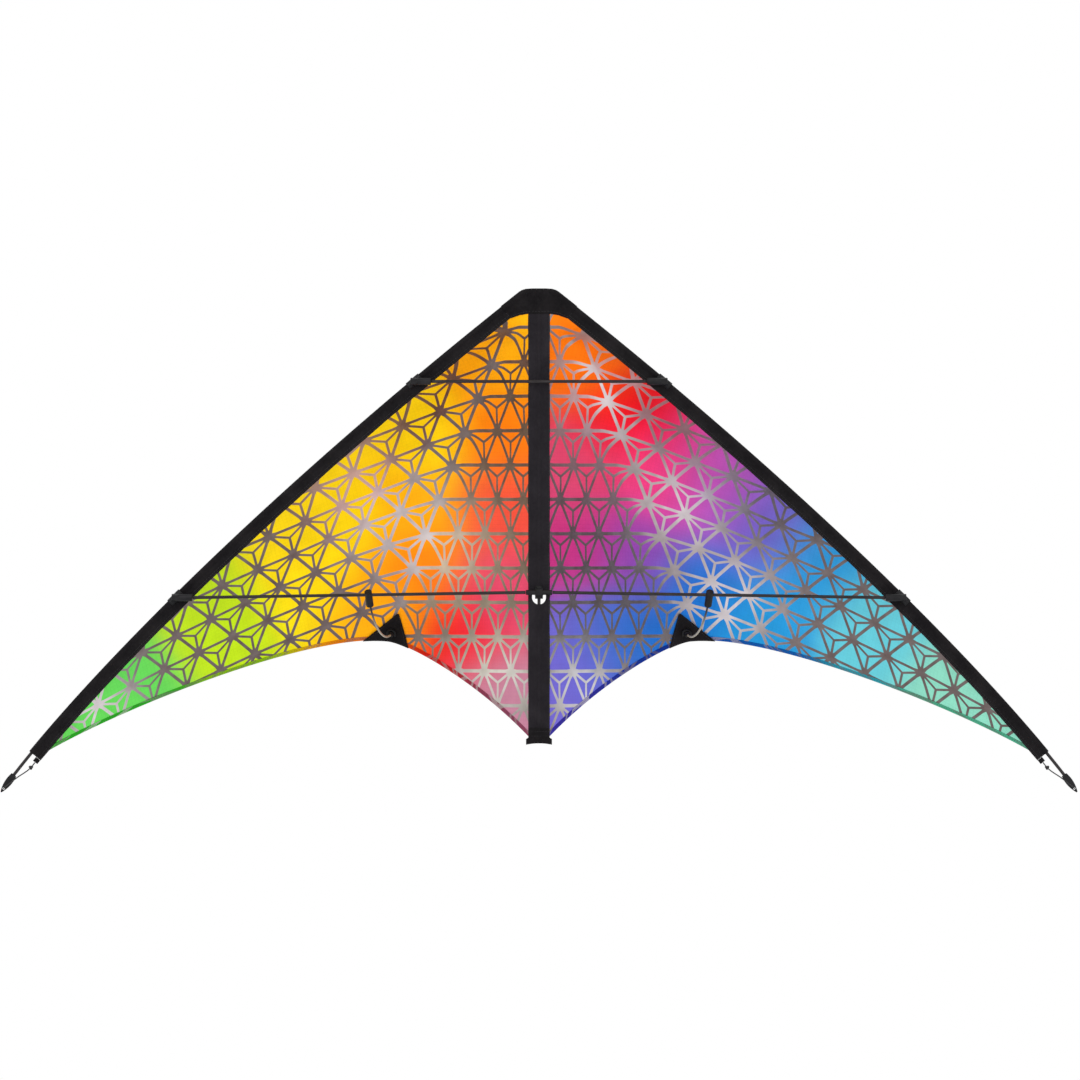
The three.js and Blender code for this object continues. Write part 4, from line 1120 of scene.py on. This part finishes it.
def make_edge_sleeve(side, sign):
    rings = []
    for distance in np.linspace(SLEEVE_FROM, sleeve_end, 280):
        out, back = sleeve_section(distance)
        rings.append(edge_point(distance, out, back))
    made = sweep_rings(f"leading_edge_sleeve_{side}_cloth", rings, edge_tape, sign)
    path = edge_point(np.linspace(SLEEVE_FROM - 2 * MM, sleeve_end + 2 * MM, 120))
    cutters = [round_bar("tunnel", path, TUNNEL, polyester, sign)]
    for place in connector_at.values():
        ends = place + np.array([-CONNECTOR_HALF, CONNECTOR_HALF])
        corners = ((-4.7, -4.6), (5.6, -4.6), (5.6, 4.6), (-4.7, 4.6))
        loops = [[edge_point(end, out * MM, back * MM) for out, back in corners] for end in ends]
        cutters.append(sweep_rings("room", loops, polyester, sign))
    return cut(made, *cutters)


edge_sleeves = {side: make_edge_sleeve(side, sign) for side, sign in SIDES}
for side, made in edge_sleeves.items():
    settle(made, f"wing_{side}", f"leading_edge_sleeve_{side}")
    print(side, "sleeve:", len(made.data.polygons), "faces")

# %% [markdown]
# ### Nose patch
# The nose is one heavy patch over the tops of all three rods. It has to bend at both hinges, so it
# is made as two halves that meet on the spine, and each half turns from the spine to its wing.

# %% Nose patch in two halves
def along_line(corners, count):
    corners = np.array(corners, float)
    reach = np.concatenate([[0], np.linalg.norm(np.diff(corners, axis=0), axis=1).cumsum()])
    marks = np.linspace(0, reach[-1], count)
    return np.stack([np.interp(marks, reach, corners[:, k]) for k in range(corners.shape[1])], -1)


def line_distance(x, z):
    """Distance of points from the leading-edge rod's axis, in the wing's plane."""
    near = edge.places[:120:2]
    return np.hypot(x[..., None] - near[:, 0], z[..., None] - near[:, 2]).min(-1)


def edge_xz(distance, outward_by):
    return edge_point(distance, outward_by)[[0, 2]]


NOSE_END = 34 * MM
NOSE_BULGE = 4.5 * MM
lower_border = [(0, 0.348), (0.015, 0.348), (0.024, 0.3465)]
lower_border += [edge_xz(NOSE_END, -15.3 * MM), edge_xz(NOSE_END, -9 * MM)]
upper_border = [(0, 0.380), (0.009, 0.380), (0.0165, 0.3795), (0.0215, 0.378)]
upper_border += [edge_xz(distance * MM, 4.3 * MM) for distance in (5, 12, 20, 28, 34)]
lower_line = along_line(lower_border, 60)
upper_line = along_line(upper_border, 60)
share = np.linspace(0, 1, 34)[None, :, None]
plan = lower_line[:, None] * (1 - share) + upper_line[:, None] * share
x, z = plan[..., 0], plan[..., 1]
over_spine = wrapped(x, 0, NOSE_BULGE - MM, 4.6 * MM)
over_edge = wrapped(line_distance(x, z), 0, 3.5 * MM, 4.4 * MM)
folds = np.abs(wander(z * 2.1, x * 3, 0.35 * MM)) * smooth_step(z, 0.352, 0.376)
half = MM + np.maximum(over_spine, over_edge) + folds
half *= 0.55 + 0.45 * smooth_step(share[..., 0] * (1 - share[..., 0]), 0, 0.05)
for side, sign in SIDES:
    made = flat_sheet(f"nose_patch_{side}_cloth", x, z, half, webbing, sign)
    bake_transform(made)
    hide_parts(f"nose_patch_{side}")
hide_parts("nose_patch")
print("nose patch reaches", round(x.max() / MM), "mm out")

# %% Tail patch
TAIL_TOP, TAIL_BOTTOM = -169.5 * MM, -190.4 * MM
FLARE_FROM = -181.6 * MM
z = np.linspace(TAIL_TOP, TAIL_BOTTOM, 50)[:, None]
share = np.linspace(-1, 1, 61)[None]
flare = smooth_step(-z, -FLARE_FROM - 0.4 * MM, -FLARE_FROM + 2 * MM)
x = share * (13.4 * MM + 2.8 * MM * flare)
wave = 1.7 * MM * (1 - share**2) * smooth_step(-z, -FLARE_FROM, -TAIL_BOTTOM)
half = 0.9 * MM + wrapped(x, 0, 3.5 * MM, 4.4 * MM) + np.abs(wander(z * 3, x * 5, 0.25 * MM))
tail_patch = flat_sheet("tail_patch_cloth", x, z + wave, half, webbing)
settle(tail_patch, "spine", "tail_patch")
print("tail patch:", len(tail_patch.data.polygons), "faces")

# %% [markdown]
# ### Standoff patches
# A blunt triangle of webbing takes the foot's push. It lies on the front of the sail, so its grid
# is read off the sail's own surface, a little in front of it.

# %% Standoff patches
PATCH_LIFT = 1.7 * MM
PATCH_HALF = 0.35 * MM
PATCH_TOP = 0.915
BLUNT = 0.96


def across_at(distance):
    """The share across the sail at which the trailing edge is this far from the spine."""
    marks = np.linspace(0, 1, 2001)
    return float(np.interp(distance, trailing(marks)[:, 0], marks))


PATCH_ENDS = (across_at(STANDOFF_X - 28.5 * MM), across_at(STANDOFF_X + 30.5 * MM))


def patch_place(foot_share, up, lift):
    foot = PATCH_ENDS[0] + (PATCH_ENDS[1] - PATCH_ENDS[0]) * np.asarray(foot_share)
    across = foot + (ridge_share - foot) * up * BLUNT
    down = 1 + (PATCH_TOP - 1) * up * BLUNT
    across, down = np.broadcast_arrays(across, down)
    return sail_point(across, down) + sail_facing(across, down) * lift


for side, sign in SIDES:
    columns, rows = np.linspace(0, 1, 70)[:, None], np.linspace(0, 1, 40)[None]
    front = patch_place(columns, rows, PATCH_LIFT + PATCH_HALF)
    back = patch_place(columns, rows, PATCH_LIFT - PATCH_HALF)
    made = two_layers(f"standoff_patch_{side}_cloth", front, back, webbing, sign)
    settle(made, f"wing_{side}", f"standoff_patch_{side}")
print("patch ends across the sail:", np.round(PATCH_ENDS, 3))

# %% [markdown]
# ## Tip cords
# At each tip a short braided cord runs from a knotted tab to the nock and pulls the sleeve tight.
# Both ends are held, so it isn't a free cord. Its route repeats the frame's own points. The knot is
# a trefoil, the curve that a single overhand knot makes.

# %% Tension cords and knots
CORD_RADIUS = 0.75 * MM
KNOT_RADIUS = 0.85 * MM  # the cord is squashed wider in its knot
cord_from = sleeve_end + 6.6 * MM
eye_at = edge.length - 5.5 * MM
nock_root = edge.length - 27 * MM
cord_stops = [
    (cord_from, -11, 0), (cord_from + 8 * MM, -11, -0.4), (cord_from + 16 * MM, -9.5, -1.2),
    (nock_root, -5.4, -4.45), (eye_at - 7 * MM, -1.6, -5.05), (eye_at - 2.6 * MM, -0.3, -5.05),
    (eye_at - 0.3 * MM, 0, -3.25), (eye_at, 0, -1.4), (eye_at, 0, 3.4),
]


def rounded_route(stops, steps):
    """A smooth path through stops: a Catmull-Rom curve, evenly stepped between them."""
    stops = np.concatenate([[2 * stops[0] - stops[1]], stops, [2 * stops[-1] - stops[-2]]])
    t = np.linspace(0, 1, steps, endpoint=False)[:, None]
    path = []
    for a, b, c, d in zip(stops, stops[1:], stops[2:], stops[3:]):
        bend = (2 * a - 5 * b + 4 * c - d) * t**2
        twist = (3 * (b - c) + d - a) * t**3
        path.append(0.5 * (2 * b + (c - a) * t + bend + twist))
    return np.concatenate(path + [stops[-2:-1]])


route = rounded_route(np.array([edge_point(d, out * MM, back * MM) for d, out, back in cord_stops]), 12)
knot_at = edge_point(cord_from + 8 * MM, -11 * MM, -0.4 * MM)
t = np.linspace(0, 2 * np.pi, 90)
trefoil = np.stack([np.sin(t) + 2 * np.sin(2 * t), -np.sin(3 * t) * 1.1, np.cos(t) - 2 * np.cos(2 * t)], -1)
trefoil = knot_at + trefoil * 0.72 * MM
for side, sign in SIDES:
    for name, path, radius in (("cord", route, CORD_RADIUS), ("knot", trefoil, KNOT_RADIUS)):
        piece_name = f"tension_{name}_{side}"
        made = round_bar(f"{piece_name}_braid", path, radius, braid, sign, sides=12, bevel=0.1 * MM)
        settle(made, f"wing_{side}", piece_name)
print("tension cord", round(float(np.linalg.norm(np.diff(route, axis=0), axis=1).sum()) / MM), "mm long")

# %% [markdown]
# ## Stitches
# Every tape and patch is sewn down. A seam is a path, and a stitch is a small rounded bead that
# repeats along it, which is what Geometry Nodes do well: the tree steps along each path, lays one
# bead at each step turned along the path, and makes them real. It has named inputs for the pitch,
# the stitch's length and its thickness, and one object for each body holds that body's seams.

# %% The stitching tree
def stitch_tree(material):
    tree = bpy.data.node_groups.new("stitching", "GeometryNodeTree")
    new_socket = tree.interface.new_socket
    new_socket("Seams", in_out="INPUT", socket_type="NodeSocketGeometry")
    for name in ("Pitch", "Stitch Length", "Stitch Thickness"):
        new_socket(name, in_out="INPUT", socket_type="NodeSocketFloat")
    new_socket("Stitches", in_out="OUTPUT", socket_type="NodeSocketGeometry")
    given = node(tree, "NodeGroupInput")
    seams = node(tree, "GeometryNodeMeshToCurve", {"Mesh": given.outputs["Seams"]})
    steps = node(
        tree, "GeometryNodeCurveToPoints",
        {"Curve": seams.outputs[0], "Length": given.outputs["Pitch"]}, mode="LENGTH",
    )
    bead = node(tree, "GeometryNodeMeshUVSphere", {"Segments": 6, "Rings": 4, "Radius": 0.5})
    thick = given.outputs["Stitch Thickness"]
    size = node(tree, "ShaderNodeCombineXYZ", {"X": given.outputs["Stitch Length"], "Y": thick, "Z": thick})
    turned = node(tree, "FunctionNodeAlignRotationToVector", {"Vector": steps.outputs["Tangent"]}, axis="X")
    laid = node(tree, "GeometryNodeInstanceOnPoints", {
        "Points": steps.outputs["Points"], "Instance": bead.outputs["Mesh"],
        "Rotation": turned.outputs[0], "Scale": size.outputs[0],
    })
    real = node(tree, "GeometryNodeRealizeInstances", {0: laid.outputs[0]})
    smooth = node(tree, "GeometryNodeSetShadeSmooth", {0: real.outputs[0]})
    sewn = node(tree, "GeometryNodeSetMaterial", {"Geometry": smooth.outputs[0], "Material": material})
    node(tree, "NodeGroupOutput", {0: sewn.outputs[0]})
    return tree


stitching = stitch_tree(thread)


def sew(name, seams, body, pitch, length, thickness):
    """One object of stitches along several paths, riding on a body."""
    points, edges = [], []
    for seam in seams:
        start = len(points)
        points += [tuple(p) for p in seam]
        edges += [(k, k + 1) for k in range(start, len(points) - 1)]
    mesh = bpy.data.meshes.new(name)
    mesh.from_pydata(points, edges, [])
    made = link(name, mesh)
    sewing = made.modifiers.new("sewing", "NODES")
    sewing.node_group = stitching
    values = {"Pitch": pitch, "Stitch Length": length, "Stitch Thickness": thickness}
    for item in stitching.interface.items_tree:
        if item.name in values:
            sewing[item.identifier] = values[item.name]
    apply_modifiers(made)
    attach(made, body)
    print(name, len(made.data.polygons), "faces")
    return made


# %% Seams on the wings and the spine
STITCH_PITCH = 3.4 * MM
STITCH_LENGTH = 2.5 * MM
STITCH_THICK = 0.42 * MM


def mirrored(path, sign):
    return np.asarray(path) * vec(sign, 1, 1)


def edge_seams():
    """Twin rows down the front of a leading-edge sleeve, and one row down its back."""
    parts = [(36 * MM, connector_at["upper"] - 13 * MM)]
    parts.append((connector_at["upper"] + 13 * MM, connector_at["lower"] - 13 * MM))
    parts.append((connector_at["lower"] + 13 * MM, sleeve_end - 2 * MM))
    found = []
    for start, end in parts:
        marks = np.linspace(start, end, int((end - start) / (4 * MM)))
        for inset, way in ((13.4, -1), (11.0, -1), (13.4, 1)):
            lift = way * (wrapped(inset * MM, 0.6 * MM, SLEEVE_OUT, 3.4 * MM) + 0.16 * MM)
            found.append(edge_point(marks, -inset * MM, lift))
    return found


def hem_seams():
    across = np.linspace(0.03, 0.985, 260)
    down = hem_top(across) + (1 - hem_top(across)) * 0.42
    facing = sail_facing(across, down)
    return [sail_point(across, down) + facing * way * (HEM_HALF + 0.02 * MM) for way in (1, -1)]


def patch_seams():
    """Round the standoff patch, a little inside its border."""
    turn = [(0.07, 0.04), (0.93, 0.04), (0.90, 0.90), (0.10, 0.90), (0.07, 0.04)]
    corners = along_line(turn, 120)
    return [patch_place(corners[:, 0], corners[:, 1], PATCH_LIFT + PATCH_HALF)]


def nose_seams(first, last):
    """Along the nose patch's lower border, front and back, between two distances out."""
    inset = lower_line + (upper_line - lower_line) * 0.10
    row = inset[(inset[:, 0] >= first) & (inset[:, 0] <= last)]
    lift = MM + np.maximum(
        wrapped(row[:, 0], 0, NOSE_BULGE - MM, 4.6 * MM),
        wrapped(line_distance(row[:, 0], row[:, 1]), 0, 3.5 * MM, 4.4 * MM),
    )
    return [np.stack([row[:, 0], way * lift, row[:, 1]], -1) for way in (-1, 1)]


for side, sign in SIDES:
    seams = edge_seams() + hem_seams() + patch_seams() + nose_seams(FOLD_TO, 1)
    seams = [mirrored(seam, sign) for seam in seams]
    sew(f"wing_{side}_stitches", seams, f"wing_{side}", STITCH_PITCH, STITCH_LENGTH, STITCH_THICK)

seams = nose_seams(0, FOLD_FROM) + [mirrored(seam, -1) for seam in nose_seams(0, FOLD_FROM)]
rows = np.linspace(TAIL_LINE + 2 * MM, 346 * MM, 160)
for offset in (-12.1, 12.1):
    for way in (-1, 1):
        seams.append(np.stack([0 * rows + offset * MM, 0 * rows + way * TAPE_HALF * 1.15, rows], -1))
columns = np.linspace(-12.5, 12.5, 60) * MM
for level in (-174 * MM, -179.5 * MM):
    lift = 0.98 * MM + wrapped(columns, 0, 3.5 * MM, 4.4 * MM)
    seams += [np.stack([columns, way * lift, 0 * columns + level], -1) for way in (-1, 1)]
sew("spine_stitches", seams, "spine", STITCH_PITCH, STITCH_LENGTH, STITCH_THICK)

# %% [markdown]
# ## What stays from the frame
# The end caps and ferrules are inside the cloth, and their shapes are right as they are, so they
# keep their own meshes and only get a finish.

# %% Finishes for the hidden fittings
def dress(node_name, material):
    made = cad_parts[node_name]
    made.data.materials.clear()
    made.data.materials.append(material)


for name in ("spine_top_cap", "spine_bottom_cap", "leading_edge_cap_left", "leading_edge_cap_right"):
    dress(name, vinyl)
for side, _ in SIDES:
    dress(f"leading_edge_ferrule_{side}", tube_metal)
shown = [name for name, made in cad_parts.items() if not made.hide_render]
print("kept from the frame:", ", ".join(sorted(shown)))

# %% [markdown]
# ## Each side's sheets
# Each side's sail, edge sleeve and upper edge rod are picked out below; nothing more is done with
# them. The tapes were cut wider than they look, because they are folded over the rods.

# %% Each side's sheets
for side, _ in SIDES:
    sail, sleeve, rod = sails[side], edge_sleeves[side], f"leading_edge_bar_upper_{side}"

# %% [markdown]
# ## Floor
# The floor is well below the kite, out of the front view.

# %% Floor
FLOOR_Z = -0.70
FLOOR_HALF = 1.5
floor_mesh = bpy.data.meshes.new("floor")
corners = ((-1, -1), (1, -1), (1, 1), (-1, 1))
points = [(x * FLOOR_HALF, y * FLOOR_HALF, FLOOR_Z) for x, y in corners]
floor_mesh.from_pydata(points, [], [(0, 1, 2, 3)])
floor = link("floor", floor_mesh)
paper, paper_tree, paper_surface = new_material("pale floor")
paper_surface.inputs["Base Color"].default_value = (0.82, 0.82, 0.83, 1)
paper_surface.inputs["Roughness"].default_value = 0.9
floor_mesh.materials.append(paper)
